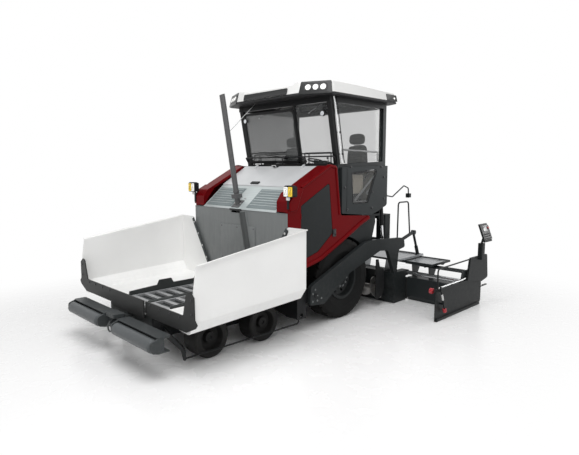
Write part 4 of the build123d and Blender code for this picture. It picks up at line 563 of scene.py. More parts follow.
RECIPES = {
    **{finish: partial(worn_steel, *row) for finish, *row in STEELS},
    **{finish: partial(moulded, *row) for finish, *row in PLASTICS},
    "hopper_white": hopper_paint,
    "body_red": lambda: paint(
        "crimson_paint", settings().body, rough=0.30, coat=0.10, grime=0.001, peel=0.002, edge=0.008,
        metal=0.25, gloss=0.02,
    ),
    "slate": partial(panel_paint, "slate_paint", 1.0),
    # the same slate paint: lightened on the cab's side panels as painted light, darkened on the doors and
    # more on the end gates as painted shade
    "cab_panel": partial(panel_paint, "cab_panel_paint", 1.45),
    "door_slate": partial(panel_paint, "door_paint", 0.85),
    "gate_slate": partial(panel_paint, "end_gate_paint", 0.58, rough=0.45, coat=0.03),
    "mid_grey": bulkhead_plate,
    "hood_grey": hood_sheet,
    "hood_silver": upper_hood_sheet,
    "roof_white": roof_panel,
    "chain_steel": conveyor_steel,
    "rod_chrome": chrome_rod,
    "mirror_glass": mirror_glass,
    "tyre": tyre_rubber,
    "tint_glass": tinted_glass,
    "tread_plate": tread_plate,
    "extension": extension_paint,
    "cab_frame": cab_paint,
    "frame_rails": rails_paint,
    "wheel_rubber": partial(rubber, "front_wheel_rubber", (0.008, 0.008, 0.008), rough=0.66, dust=0.06),
    "flap_rubber": partial(rubber, "flap_rubber", (0.0185, 0.0192, 0.0192), rough=0.42, dust=0.04, grain=60),
    "seat_cloth": partial(woven, "seat_weave", (0.05, 0.05, 0.042)),
    "lamp_white": partial(lens, "white_lens", (0.95, 0.95, 0.92), glow=0.3),
    "lamp_yellow": partial(lens, "yellow_lens", (0.95, 0.66, 0.03), glow=0.15),
    "frame_dark": partial(paint, "frame_paint", FRAME_BLACK, rough=0.45, coat=0.04, grime=0.03, peel=0.06),
    "stack_steel": partial(
        paint, "stack_enamel", (0.105, 0.105, 0.107), rough=0.36, grime=0.02, peel=0.05, edge=0.003,
        metal=0.1,
    ),
    "rim_grey": partial(paint, "rim_paint", (0.019, 0.0215, 0.022), rough=0.40, grime=0.02),
    "grille_grey": partial(
        paint, "grille_paint", (0.20, 0.235, 0.24), rough=0.4, grime=0.02, peel=0.02, edge=0.002,
    ),
    "pale_tube": partial(
        paint, "pale_tube_paint", (0.78, 0.79, 0.79), rough=0.22, coat=0.6, grime=0.02, peel=0.05,
        edge=0.002, metal=0.3,
    ),
    "light_grey": partial(paint, "light_grey_paint", (0.40, 0.41, 0.41), rough=0.35, coat=0.2),
    "roller_grey": partial(
        paint, "roller_paint", (0.082, 0.090, 0.094), rough=0.34, coat=0.15, grime=0.05, peel=0.05,
    ),
    "beam_grey": partial(paint, "beam_paint", (0.045, 0.050, 0.052), rough=0.40, grime=0.05, peel=0.05),
}
# nodes that take a finer finish than their slot's own
NODE_FINISHES = {
    "cab_frame": "cab_frame", "frame_rails": "frame_rails", "screed_walkway": "tread_plate",
    "push_roller": "roller_grey", "push_beam": "beam_grey", "extension": "extension",
    # the cab's side panels take the slate paint lightened as painted light; the doors and end gates take it
    # darkened as painted shade
    "cab_side_panels": "cab_panel", "side_door": "door_slate", "end_gate": "gate_slate",
}
# the record's slot that stands for a finish; any other finish has the name of its slot
FINISH_SLOTS = {
    "lamp_white": "lamp", "lamp_yellow": "lamp", "black_plastic": "console_black", "pod_grey": "slate",
    "white_plastic": "roof_white", "pale_tube": "hood_silver", "light_grey": "mid_grey",
    "red_plastic": "body_red", "bolt_zinc": "stack_steel", "bolt_dark": "frame_dark",
    "bolt_grey": "stack_steel", "seat_shell": "console_black", "mirror_glass": "rod_chrome",
    "beige_trim": "mid_grey", "screen_black": "console_black", "tread_plate": "slate",
    "beam_grey": "slate", "grille_grey": "hood_grey",
}
made = {}


def material(name):
    """The finish of that name, made the first time it is asked for."""
    if name not in made:
        made[name] = RECIPES[name]()
    return made[name]


# ---------------------------------------------------------------------------------------
# Modelling helpers
# ---------------------------------------------------------------------------------------
def clear():
    """Back to object mode with nothing selected."""
    if bpy.context.mode != "OBJECT":
        bpy.ops.object.mode_set(mode="OBJECT")
    bpy.ops.object.select_all(action="DESELECT")


def only(piece):
    """Selects one piece and makes it active."""
    clear()
    piece.select_set(True)
    bpy.context.view_layer.objects.active = piece


def begin(name, primitive, **options):
    """Adds a primitive at its size and place, and opens it for shaping with nothing selected."""
    clear()
    getattr(bpy.ops.mesh, f"primitive_{primitive}_add")(**options)
    piece = bpy.context.object
    piece.name = piece.data.name = name
    bpy.ops.object.transform_apply(location=True, rotation=True, scale=True)
    bpy.ops.object.mode_set(mode="EDIT")
    bpy.ops.mesh.select_all(action="DESELECT")
    return piece


def box(name, middle, size, turn=(0, 0, 0)):
    return begin(name, "cube", size=1, location=middle, rotation=turn, scale=size)


def rod(name, start, end, radius, sides=20):
    """A round bar from start to end."""
    run = Vector(end) - Vector(start)
    return begin(
        name, "cylinder", radius=radius, depth=run.length, vertices=sides,
        location=(Vector(start) + Vector(end)) / 2, rotation=run.to_track_quat("Z", "Y").to_euler(),
    )


def pick(piece, kind, test):
    """Selects the faces or edges whose middle, and normal or run, pass the test."""
    bpy.ops.mesh.select_all(action="DESELECT")
    bpy.ops.mesh.select_mode(type="FACE" if kind == "faces" else "EDGE")
    mesh = bmesh.from_edit_mesh(piece.data)
    found = 0
    for item in getattr(mesh, kind):
        if kind == "faces":
            middle, way = item.calc_center_median(), item.normal
        else:
            first, second = (v.co for v in item.verts)
            middle, way = (first + second) / 2, (second - first).normalized()
        if test(middle, way):
            item.select_set(True)
            found += 1
    if not found:
        raise RuntimeError(f"{piece.name}: nothing to shape was found")
    bmesh.update_edit_mesh(piece.data)


def along(direction, least=0.9):
    """A test for faces that look along a direction."""
    aim = Vector(direction).normalized()
    return lambda middle, way: way.dot(aim) > least


def across(direction, least=0.9):
    """A test for edges that run, or faces that look, along a direction either way."""
    aim = Vector(direction).normalized()
    return lambda middle, way: abs(way.dot(aim)) > least


def faced(piece, facing, *steps, least=0.9, either_way=False):
    """Insets the faces that look along a direction, once for each (width, depth) pair."""
    pick(piece, "faces", (across if either_way else along)(facing, least))
    for width, depth in steps:
        bpy.ops.mesh.inset(thickness=width, depth=depth)


def rounded(piece, run, radius, segments, least=0.9):
    """Rounds the edges that run along a direction."""
    pick(piece, "edges", across(run, least))
    bpy.ops.mesh.bevel(offset=radius, segments=segments, affect="EDGES", profile=0.5)


def settle(piece, body, finish, edge=0.0, segments=2, smooth=35):
    """Closes the shaping: soft edges, shading, finish, and the body that the piece moves with."""
    only(piece)
    if edge:
        bevel = piece.modifiers.new("edge", "BEVEL")
        bevel.width, bevel.segments, bevel.limit_method = edge, segments, "ANGLE"
        bpy.ops.object.modifier_apply(modifier=bevel.name)
        # where two soft edges meet, faces without an area are taken out again
        bpy.ops.object.mode_set(mode="EDIT")
        bpy.ops.mesh.select_all(action="SELECT")
        bpy.ops.mesh.dissolve_degenerate(threshold=0.00001)
        bpy.ops.object.mode_set(mode="OBJECT")
    bpy.ops.object.transform_apply(location=True, rotation=True, scale=True)
    bpy.ops.object.shade_smooth_by_angle(angle=radians(smooth))
    piece.data.materials.clear()
    piece.data.materials.append(material(finish))
    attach(piece, body)
    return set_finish(piece, FINISH_SLOTS.get(finish, finish))


def mirrored(piece):
    """The same piece on the right-hand side, with its own mesh."""
    name = piece.name.replace("left", "right")
    twin = bpy.data.objects.new(name, piece.data.copy())
    twin.data.name = name
    bpy.context.scene.collection.objects.link(twin)
    twin.data.transform(Matrix.Diagonal((-1, 1, 1, 1)))
    twin.data.flip_normals()
    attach(twin, piece["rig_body"])
    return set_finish(twin, piece["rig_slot"])


def paired(piece, finish, edge=0.0, segments=2, smooth=35):
    """A left-hand piece settled on the tractor, and its twin on the right."""
    return mirrored(settle(piece, "tractor", finish, edge, segments, smooth))


def joined(name, pieces):
    """Several loose pieces as one, before it is settled."""
    clear()
    for piece in pieces:
        piece.select_set(True)
    bpy.context.view_layer.objects.active = pieces[0]
    bpy.ops.object.join()
    pieces[0].name = pieces[0].data.name = name
    return pieces[0]


def spread(piece, name, places):
    """Copies of one modelled piece at each place, joined into one; the model itself goes."""
    clear()
    copies = []
    for place in places:
        twin = bpy.data.objects.new(name, piece.data.copy())
        bpy.context.scene.collection.objects.link(twin)
        twin.data.transform(Matrix.Translation(place))
        copies.append(twin)
    bpy.data.objects.remove(piece)
    return joined(name, copies)


def tube(name, points, radius, bend, sides):
    """A bent tube along straight runs, its corners eased round, closed at both ends."""
    route = [Vector(points[0])]
    for before, corner, after in zip(points, points[1:], points[2:]):
        corner = Vector(corner)
        route.append(corner + (Vector(before) - corner).normalized() * bend)
        route.append(corner)
        route.append(corner + (Vector(after) - corner).normalized() * bend)
    route.append(Vector(points[-1]))
    clear()
    bpy.ops.curve.primitive_nurbs_path_add(location=(0, 0, 0))
    piece = bpy.context.object
    piece.name = name
    curve = piece.data
    curve.splines.clear()
    spline = curve.splines.new("NURBS")
    spline.points.add(len(route) - 1)
    for point, place in zip(spline.points, route):
        point.co = (*place, 1)
    spline.order_u = 3
    spline.use_endpoint_u = True
    spline.resolution_u = curve.render_resolution_u = 6
    curve.bevel_depth, curve.bevel_resolution, curve.use_fill_caps = radius, sides, True
    bpy.ops.object.convert(target="MESH")
    piece = bpy.context.object
    piece.data.name = name
    bpy.ops.object.mode_set(mode="EDIT")
    bpy.ops.mesh.select_all(action="SELECT")
    bpy.ops.mesh.remove_doubles(threshold=0.0001)
    bpy.ops.mesh.normals_make_consistent(inside=False)
    bpy.ops.mesh.select_all(action="DESELECT")
    return piece


def bolts(name, facing, radius, height, places, body, finish):
    """A row of like bolt heads as one piece, each on its washer and looking along facing."""
    turn = Vector(facing).to_track_quat("Z", "Y").to_euler()
    aim = Vector(facing).normalized()
    piece = begin(name, "cylinder", radius=radius * 1.45, depth=height * 0.3, vertices=18,
                  location=aim * height * 0.15, rotation=turn)
    faced(piece, facing, (radius * 0.42, 0))
    bpy.ops.mesh.extrude_region_move(TRANSFORM_OT_translate={"value": aim * height * 0.7})
    bpy.ops.mesh.inset(thickness=radius * 0.25, depth=height * 0.15)
    bpy.ops.object.mode_set(mode="OBJECT")
    return settle(spread(piece, name, places), body, finish)


# ---------------------------------------------------------------------------------------
# What a user may change
# ---------------------------------------------------------------------------------------
def colour(name, description, default):
    return bpy.props.FloatVectorProperty(
        name=name, description=description, default=default, subtype="COLOR", size=3, min=0, max=1,
    )


def length(name, description, default, low, high):
    return bpy.props.FloatProperty(
        name=name, description=description, default=default, min=low, max=high, unit="LENGTH",
    )


class PaverColours(bpy.types.PropertyGroup):
    hopper: colour("Hopper", "Paint of the hopper wings", COLOURS["hopper_white"])
    body: colour("Body", "Paint of the side frames", (0.135, 0.0012, 0.0028))
    panels: colour("Panels", "Paint of the doors, cab, tow arms and screed", (0.0165, 0.0195, 0.0205))
    hood: colour("Lower hood", "Metallic paint of the lower hood", (0.41, 0.455, 0.455))
    roof: colour("Roof", "Fascia of the cab roof", (0.70, 0.70, 0.69))


class PaverSizes(bpy.types.PropertyGroup):
    work_lamp: length("Work lamp", "Diameter of a round lamp in the roof pods", 0.083, 0.05, 0.11)
    trim_tube: length("Trim tube", "Radius of the pale tube along the front pillars", 0.015, 0.008, 0.025)
    knob: length("Adjuster knob", "Radius of the end gates' red knobs", 0.048, 0.02, 0.06)
    padding: length("Padding", "How far the seat pads may swell", 0.018, 0.0, 0.03)


class PaverStage(bpy.types.PropertyGroup):
    lens: bpy.props.FloatProperty(
        name="Lens", description="Focal length of the camera, in millimetres", default=30.7, min=15, max=200,
    )
    key: bpy.props.FloatProperty(
        name="Key light", description="Power of the large soft box overhead, in watts", default=590.0, min=0,
    )
    fill: bpy.props.FloatProperty(
        name="Fill", description="Strength of the even light from all round", default=0.40, min=0, max=2,
    )


# ---------------------------------------------------------------------------------------
# Pieces
# ---------------------------------------------------------------------------------------
class PAVER_OT_finishes(bpy.types.Operator):
    """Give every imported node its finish"""
    bl_idname = "paver.finishes"
    bl_label = "Finishes"

    def execute(self, context):
        for name, slot in NODE_SLOTS.items():
            finish = NODE_FINISHES.get(name.removesuffix("_left").removesuffix("_right"), slot)
            materials = frame["nodes"][name].data.materials
            materials.clear()
            materials.append(material(finish))
        return {"FINISHED"}


class PAVER_OT_headlamps(bpy.types.Operator):
    """Fit lenses, feet and bezels to the two headlamps"""
    bl_idname = "paver.headlamps"
    bl_label = "Headlamps"

    def execute(self, context):
        # a crowned rectangular lens in each pocket of the housing
        for spot, x, finish in (("inner", 1.2125, "lamp_white"), ("outer", 1.3075, "lamp_yellow")):
            lens_piece = box(f"headlamp_lens_{spot}_left", (x, -0.978, 2.230), (0.082, 0.034, 0.140))
            rounded(lens_piece, (0, 1, 0), 0.012, 4)
            faced(lens_piece, (0, -1, 0), (0.005, 0), (0.004, -0.003), (0.012, 0.006))
            paired(lens_piece, finish, 0.0012)
        foot = box("headlamp_foot_left", (1.232, -0.962, 2.132), (0.052, 0.034, 0.044))
        faced(foot, (0, 0, -1), (0.006, 0.012))
        paired(foot, "white_plastic", 0.005, 3)
        brow = box("headlamp_brow_left", (1.260, -0.945, 2.313), (0.150, 0.080, 0.010))
        faced(brow, (0, 0, 1), (0.012, 0.004))
        paired(brow, "black_plastic", 0.003, 3)
        return {"FINISHED"}


# a front pod's face runs from the roof's nose to its corner, and leans in with the fascia
POD_A, POD_B = Vector((0.775, -0.300, 3.730)), Vector((1.310, -0.050, 3.730))
POD_RUN = (POD_B - POD_A).normalized()
POD_OUT = Vector((POD_RUN.y, -POD_RUN.x, 0))
POD_UP = (Vector((0, 0, cos(FASCIA_LEAN))) - POD_OUT * sin(FASCIA_LEAN)).normalized()
POD_FACE = POD_RUN.cross(POD_UP)


def pod_place(run, up, out=0.0):
    """A point on a front pod's face, from the middle of its lower edge."""
    return (POD_A + POD_B) / 2 + POD_RUN * run + POD_UP * up + POD_FACE * out


def pod_turn():
    return Matrix((POD_RUN, POD_UP, POD_FACE)).transposed().to_euler()


class PAVER_OT_roof_pods(bpy.types.Operator):
    """Build the lamp pods at the roof's corners, the front panel and the rear side panels"""
    bl_idname = "paver.roof_pods"
    bl_label = "Roof pods"

    def execute(self, context):
        lamp = sizes().work_lamp / 2
        plate = box("roof_pod_left", pod_place(0, 0.112, 0.004), (0.560, 0.214, 0.014), pod_turn())
        pick(plate, "faces", along(POD_UP))
        bpy.ops.transform.resize(value=(0.9, 0.9, 1), center_override=pod_place(0, 0.219, 0.004))
        rounded(plate, POD_FACE, 0.018, 4)
        faced(plate, POD_FACE, (0.010, 0.003))
        paired(plate, "pod_grey", 0.002)

        bezel = box("work_lamp_bezel_left", pod_place(0, 0.118, 0.010), (0.400, 0.128, 0.016), pod_turn())
        rounded(bezel, POD_FACE, 0.045, 6)
        faced(bezel, POD_FACE, (0.006, 0), (0.004, -0.005))
        paired(bezel, "black_plastic", 0.0015)

        rims, glasses = [], []
        for i in (-1, 0, 1):
            middle = pod_place(i * 0.126, 0.118)
            rim = rod(f"rim{i}", middle + POD_FACE * 0.006, middle + POD_FACE * 0.019, lamp + 0.006, 36)
            faced(rim, POD_FACE, (0.005, 0), (0.001, -0.004))
            rims.append(rim)
            glass = rod(f"glass{i}", middle + POD_FACE * 0.006, middle + POD_FACE * 0.016, lamp, 36)
            faced(glass, POD_FACE, (0.008, 0.003), (0.012, 0.002))
            glasses.append(glass)
        paired(joined("work_lamp_rims_left", rims), "bolt_zinc", 0.001)
        paired(joined("work_lamps_left", glasses), "lamp_white", 0.001, smooth=60)

        # bare dark panel across the front of the fascia
        front = box("roof_front_panel", (-0.03, -0.288, 3.822), (1.10, 0.012, 0.105), (-FASCIA_LEAN, 0, 0))
        rounded(front, (0, 1, 0), 0.016, 4, least=0.8)
        faced(front, (0, -1, 0), (0.008, 0), (0.003, -0.003), least=0.8)
        settle(front, "tractor", "pod_grey", 0.0015)

        # panel at the rear end of each side of the fascia, with a small marker lamp
        lean = (0, -FASCIA_LEAN, 0)
        side = box("roof_side_panel_left", (1.2865, 1.572, 3.822), (0.012, 0.335, 0.120), lean)
        pick(side, "faces", along((0, -1, 0)))
        bpy.ops.transform.translate(value=(0, 0.02, 0))
        rounded(side, (1, 0, 0), 0.016, 4, least=0.8)
        faced(side, (1, 0, 0), (0.006, 0), (0.003, -0.003), least=0.8)
        paired(side, "pod_grey", 0.0015)
        marker = rod("roof_marker_lamp_left", (1.288, 1.655, 3.815), (1.301, 1.655, 3.818), 0.018, 28)
        faced(marker, (1, 0, 0), (0.005, 0.003))
        paired(marker, "lamp_white", 0.001, smooth=60)
        return {"FINISHED"}


def screen_y(z):
    """The windscreens' outer face at a height."""
    return 0.270 - 0.210 * (z - 2.640) / 1.090


class PAVER_OT_cab_trim(bpy.types.Operator):
    """Fit the cab's pillar tubes, struts, rails, wiper and mirrors"""
    bl_idname = "paver.cab_trim"
    bl_label = "Cab trim"

    def execute(self, context):
        self.pillars()
        self.struts()
        self.front_rails()
        self.wiper()
        self.mirrors()
        self.side_rails()
        return {"FINISHED"}

    def pillars(self):
        """A pale tube and a dark cable duct up each front pillar, held by clips."""
        pale = tube("pillar_tube_left", [
            (1.165, 0.362, 2.650), (1.165, 0.345, 2.700), (1.165, 0.165, 3.620), (1.150, 0.150, 3.728),
        ], sizes().trim_tube, 0.03, 5)
        paired(pale, "pale_tube")
        dark = tube("pillar_cable_duct_left", [
            (1.172, 0.425, 2.660), (1.172, 0.400, 2.720), (1.172, 0.225, 3.600), (1.158, 0.215, 3.728),
        ], 0.008, 0.03, 3)
        paired(dark, "black_plastic")
        clips = []
        for share in (0.12, 0.5, 0.88):
            y, z = 0.345 - 0.18 * share, 2.700 + 0.92 * share
            clip = box(f"clip{share}", (1.158, y + 0.03, z), (0.022, 0.085, 0.030))
            faced(clip, (1, 0, 0), (0.006, 0.003))
            clips.append(clip)
        paired(joined("pillar_clips_left", clips), "black_plastic", 0.003)

    def struts(self):
        """A stay from the exhaust stack to the roof, and gas struts from the screens to the ceiling."""
        stay = rod("stack_stay", (-0.085, -0.995, 3.181), (-0.557, -0.045, 3.735), 0.006, 14)
        faced(stay, (-0.39, 0.79, 0.46), (0.002, 0.003))
        settle(stay, "tractor", "pale_tube")
        top = (0.500, 0.640, 3.745)
        strut = rod("screen_strut_left", (0.635, 0.112, 3.494), top, 0.007, 14)
        faced(strut, (-0.2, 0.88, 0.42), (0.002, 0.003))
        paired(strut, "pale_tube")
        sleeve = rod("screen_strut_sleeve_left", (0.568, 0.376, 3.620), top, 0.012, 18)
        faced(sleeve, (0.2, -0.88, -0.42), (0.003, 0.003))
        paired(sleeve, "black_plastic", 0.001)
        hanger = box("screen_strut_hanger_left", (0.500, 0.645, 3.800), (0.030, 0.040, 0.115))
        faced(hanger, (0, 0, -1), (0.006, 0.004))
        paired(hanger, "black_plastic", 0.004)

    def front_rails(self):
        """Grab rail across the foot of the windscreens, on short posts, with a raised part on the left."""
        runs = [
            tube("front_rail", [
                (-1.13, 0.250, 2.700), (-1.13, 0.200, 2.771), (1.12, 0.200, 2.771), (1.12, 0.250, 2.700),
            ], 0.012, 0.04, 3),
            tube("raised_rail", [
                (0.465, 0.205, 2.650), (0.465, 0.200, 2.832), (1.060, 0.200, 2.832), (1.060, 0.205, 2.650),
            ], 0.010, 0.03, 3),
        ]
        for x in (-0.683, -0.10):
            foot = [(x, 0.200, 2.775), (x, 0.202, 2.700), (x, 0.215, 2.620)]
            runs.append(tube(f"rail_post{x}", foot, 0.010, 0.02, 3))
        settle(joined("front_grab_rail", runs), "tractor", "black_plastic")

    def wiper(self):
        """Wiper parked level across the foot of the wide screen: a blade, its arm and the motor's cap."""
        pivot, tip, z = -0.02, -0.96, 2.838
        y = screen_y(z) - 0.022
        blade = box("wiper_blade_wide", ((pivot + tip) / 2, y, z + 0.018), (pivot - tip, 0.014, 0.016))
        faced(blade, (0, 0, 1), (0.003, 0.004))
        settle(blade, "tractor", "black_plastic", 0.002)
        arm = tube("wiper_arm_wide", [
            (pivot, y - 0.030, z - 0.075), ((pivot + tip) / 2, y - 0.022, z - 0.02),
            (tip * 0.6 + pivot * 0.4, y - 0.008, z + 0.018),
        ], 0.007, 0.05, 3)
        settle(arm, "tractor", "black_plastic")
        low = z - 0.075
        cap = rod("wiper_cap_wide", (pivot, screen_y(low) + 0.03, low), (pivot, y - 0.042, low), 0.024, 24)
        faced(cap, (0, -1, 0), (0.006, 0.005))
        settle(cap, "tractor", "black_plastic", 0.002)

    def mirrors(self):
        """A round mirror under the roof, inside each front corner."""
        x, z = 0.98, 3.46
        stalk = tube("mirror_stalk_left", [
            (1.075, 0.095, 3.56), (1.02, 0.06, 3.55), (x, 0.075, z + 0.03),
        ], 0.008, 0.02, 3)
        paired(stalk, "black_plastic")
        shell = rod("mirror_shell_left", (x, 0.100, z), (x, 0.068, z), 0.044, 32)
        faced(shell, (0, 1, 0), (0.014, 0.012))
        paired(shell, "black_plastic", 0.004, 3, 50)
        glass = rod("mirror_glass_left", (x, 0.070, z), (x, 0.063, z), 0.037, 32)
        faced(glass, (0, -1, 0), (0.010, 0.002))
        paired(glass, "mirror_glass", smooth=60)

    def side_rails(self):
        """A rail behind each side window, with its rear post."""
        rail = tube("side_rail_left", [
            (1.052, 0.48, 2.700), (1.052, 0.50, 2.886), (1.052, 1.515, 2.866), (1.052, 1.515, 2.700),
        ], 0.016, 0.04, 4)
        paired(rail, "pale_tube")


class PAVER_OT_side_panels(bpy.types.Operator):
    """Frame and brace the lower cab windows, and bolt their panels on"""
    bl_idname = "paver.side_panels"
    bl_label = "Cab side panels"

    def execute(self, context):
        corners = [(0.600, 2.482), (1.300, 2.540), (1.045, 1.985), (0.640, 1.985)]
        seal = tube("window_seal_left", [(1.186, y, z) for y, z in (*corners, corners[0])], 0.009, 0.035, 3)
        paired(seal, "black_plastic")
        # pale triangular brace seen behind the pane, with a bolt in its gusset
        corners = [(0.80, 1.985), (0.700, 1.985), (1.370, 2.500), (1.110, 1.990), (0.78, 1.985)]
        brace = tube("window_brace_left", [(1.146, y, z) for y, z in corners], 0.019, 0.05, 3)
        paired(brace, "light_grey")
        lean = (atan2(0.50, 0.66), 0, 0)
        gusset = box("brace_gusset_left", (1.146, 1.150, 2.160), (0.012, 0.150, 0.075), lean)
        faced(gusset, (1, 0, 0), (0.012, -0.002), either_way=True)
        paired(gusset, "light_grey", 0.003)
        place = (1.150, 1.176, 2.191)
        mirrored(bolts("brace_bolt_left", (1, 0, 0), 0.020, 0.014, [place], "tractor", "bolt_dark"))
        # trimmed box, seen through the window beside the seat
        trim = box("side_locker_left", (1.070, 0.830, 2.300), (0.110, 0.330, 0.330))
        rounded(trim, (1, 0, 0), 0.04, 4)
        faced(trim, (1, 0, 0), (0.020, 0), (0.006, -0.006))
        paired(trim, "beige_trim", 0.005, 3)

        # trimmed locker against the rear wall, behind the seat
        stow = box("rear_locker_left", (0.860, 1.400, 2.235), (0.520, 0.150, 0.600))
        rounded(stow, (0, 1, 0), 0.04, 4)
        faced(stow, (0, -1, 0), (0.022, 0), (0.005, -0.006))
        paired(stow, "beige_trim", 0.005, 3)
        back = box("locker_back_left", (0.860, 1.4790, 2.235), (0.500, 0.008, 0.580))
        faced(back, (0, 1, 0), (0.030, 0), (0.006, 0.004))
        paired(back, "slate", 0.002)
        # plate that closes the corner between the side frame and the cab's side panel
        plate = box("corner_plate_left", (1.135, 0.262, 2.215), (0.010, 0.200, 0.800))
        faced(plate, (1, 0, 0), (0.012, 0.002))
        paired(plate, "slate", 0.002)

        mirrored(bolts("panel_bolts_left", (1, 0, 0), 0.017, 0.012, [(1.1955, y, z) for y, z in (
            (0.560, 2.594), (1.44, 2.600), (0.480, 1.882), (1.175, 1.870),
            (1.526, 2.415), (1.180, 2.150), (0.410, 2.25), (1.55, 2.02),
        )], "tractor", "bolt_dark"))
        seam = box("panel_joint_left", (1.1945, 0.462, 2.205), (0.005, 0.010, 0.740))
        faced(seam, (1, 0, 0), (0.002, -0.001))
        paired(seam, "black_plastic")
        return {"FINISHED"}


def incline(run, rise):
    """The way up a slope, and the way out of its face."""
    slope = Vector((0, run, rise)).normalized()
    return slope, Vector((0, -slope.z, slope.y))


class PAVER_OT_hood_fittings(bpy.types.Operator):
    """Fit the hood's latch, plate and catch, the hatch, the grilles, and the exhaust foot's bolts"""
    bl_idname = "paver.hood_fittings"
    bl_label = "Hood fittings"

    def execute(self, context):
        latch = box("hood_latch", (-0.06, 0.012, 2.614), (0.11, 0.060, 0.024), (HOOD_LEAN, 0, 0))
        faced(latch, (0, -0.5, 0.85), (0.014, 0.012), least=0.8)
        settle(latch, "hood", "black_plastic", 0.004, 3)
        grip = tube("hood_latch_grip", [
            (-0.105, -0.03, 2.592), (-0.105, -0.055, 2.622), (-0.015, -0.055, 2.622), (-0.015, -0.03, 2.592),
        ], 0.008, 0.015, 3)
        settle(grip, "hood", "bolt_zinc")
        plate = box("hood_badge_plate", (-0.10, -0.445, 2.312), (0.20, 0.060, 0.050), (HOOD_LEAN, 0, 0))
        faced(plate, (0, -0.53, 0.85), (0.010, 0), (0.004, -0.010), least=0.8)
        settle(plate, "hood", "black_plastic", 0.003, 3)
        catch = box("hood_catch", (-0.02, -0.958, 1.893), (0.30, 0.020, 0.030))
        faced(catch, (0, -1, 0), (0.008, 0.005))
        settle(catch, "tractor", "black_plastic", 0.003, 3)
        self.hatch()
        self.grilles()
        slope, out = incline(0.450, 0.365)
        foot = Vector((-0.078, -0.800, 2.022)) + out * 0.011
        bolts("stack_bolts", (0, -0.63, 0.78), 0.012, 0.010, [
            foot + Vector((dx, 0, 0)) + slope * dv for dx in (-0.075, 0.075) for dv in (-0.065, 0.065)
        ], "tractor", "bolt_zinc")
        return {"FINISHED"}

    def hatch(self):
        """Access hatch in the middle of the front wall, with flat bolts that the folded wings clear."""
        x, z = 0.019, 1.330
        hatch = box("bulkhead_hatch", (x, -0.9555, z), (0.906, 0.010, 0.610))
        rounded(hatch, (0, 1, 0), 0.030, 5)
        faced(hatch, (0, -1, 0), (0.004, 0.001))
        settle(hatch, "tractor", "mid_grey", 0.0015)
        bolts("hatch_bolts", (0, -1, 0), 0.011, 0.002, [
            (x + dx, -0.9600, z + dz) for dx in (-0.415, 0, 0.415) for dz in (-0.270, 0.270)
        ], "tractor", "bolt_dark")

    def grilles(self):
        """Fine grilles over the cooling slots: every second field of a panel stands out as a bar."""
        slope, out = incline(0.442, 0.365)
        lean = (atan2(slope.z, slope.y), 0, 0)
        fields = 25
        field = 0.400 / fields
        for side, sign in SIDES:
            middle = Vector((sign * 0.551, -0.948, 1.900)) + slope * 0.279 + out * 0.002
            grille = box(f"hood_grille_{side}", middle, (0.700, 0.450, 0.010), lean)
            faced(grille, out, (0.022, 0), (0.003, -0.003))
            bpy.ops.mesh.subdivide(number_cuts=fields - 1)
            pick(grille, "faces", lambda place, way: (
                way.dot(out) > 0.9 and abs((place - middle).dot(slope)) < 0.196
                and abs(place.x - middle.x) < 0.320 and round((place - middle).dot(slope) / field) % 2 == 0
            ))
            bpy.ops.mesh.extrude_region_move(TRANSFORM_OT_translate={"value": out * 0.003})
            settle(grille, "tractor", "grille_grey")


class PAVER_OT_doors(bpy.types.Operator):
    """Fit the service doors' latches"""
    bl_idname = "paver.doors"
    bl_label = "Door latches"

    def execute(self, context):
        for side, sign in SIDES:
            plate = box(f"door_latch_{side}", (sign * 1.205, 0.135, 1.515), (0.018, 0.085, 0.125))
            faced(plate, (sign, 0, 0), (0.012, 0), (0.004, -0.006))
            settle(plate, f"door_{side}", "black_plastic", 0.004, 3)
            paddle = box(f"door_paddle_{side}", (sign * 1.209, 0.135, 1.530), (0.016, 0.050, 0.060))
            faced(paddle, (sign, 0, 0), (0.008, 0.004))
            settle(paddle, f"door_{side}", "bolt_dark", 0.003, 3)
        return {"FINISHED"}


class PAVER_OT_body_lips(bpy.types.Operator):
    """Roll the side frames' outer edges into rounded lips, over the wheel arch and along the top"""
    bl_idname = "paver.body_lips"
    bl_label = "Body lips"

    def execute(self, context):
        for name, radius, bend, route in (
            ("arch_lip", 0.037, 0.16, [
                (1.075, 1.702), (0.865, 1.628), (0.300, 1.352),
                (-0.215, 1.118), (-0.545, 1.051), (-0.880, 1.043),
            ]),
            ("top_lip", 0.024, 0.05, [(-0.640, 2.276), (0.012, 2.611), (0.166, 2.590), (0.272, 1.810)]),
        ):
            lip = tube(f"{name}_left", [(DOOR_FACE, y, z) for y, z in route], radius, bend, 5)
            bpy.ops.mesh.select_all(action="SELECT")
            bpy.ops.transform.resize(value=(0.85, 1, 1), center_override=(DOOR_FACE, 0, 0))
            paired(lip, "body_red", smooth=60)
        return {"FINISHED"}


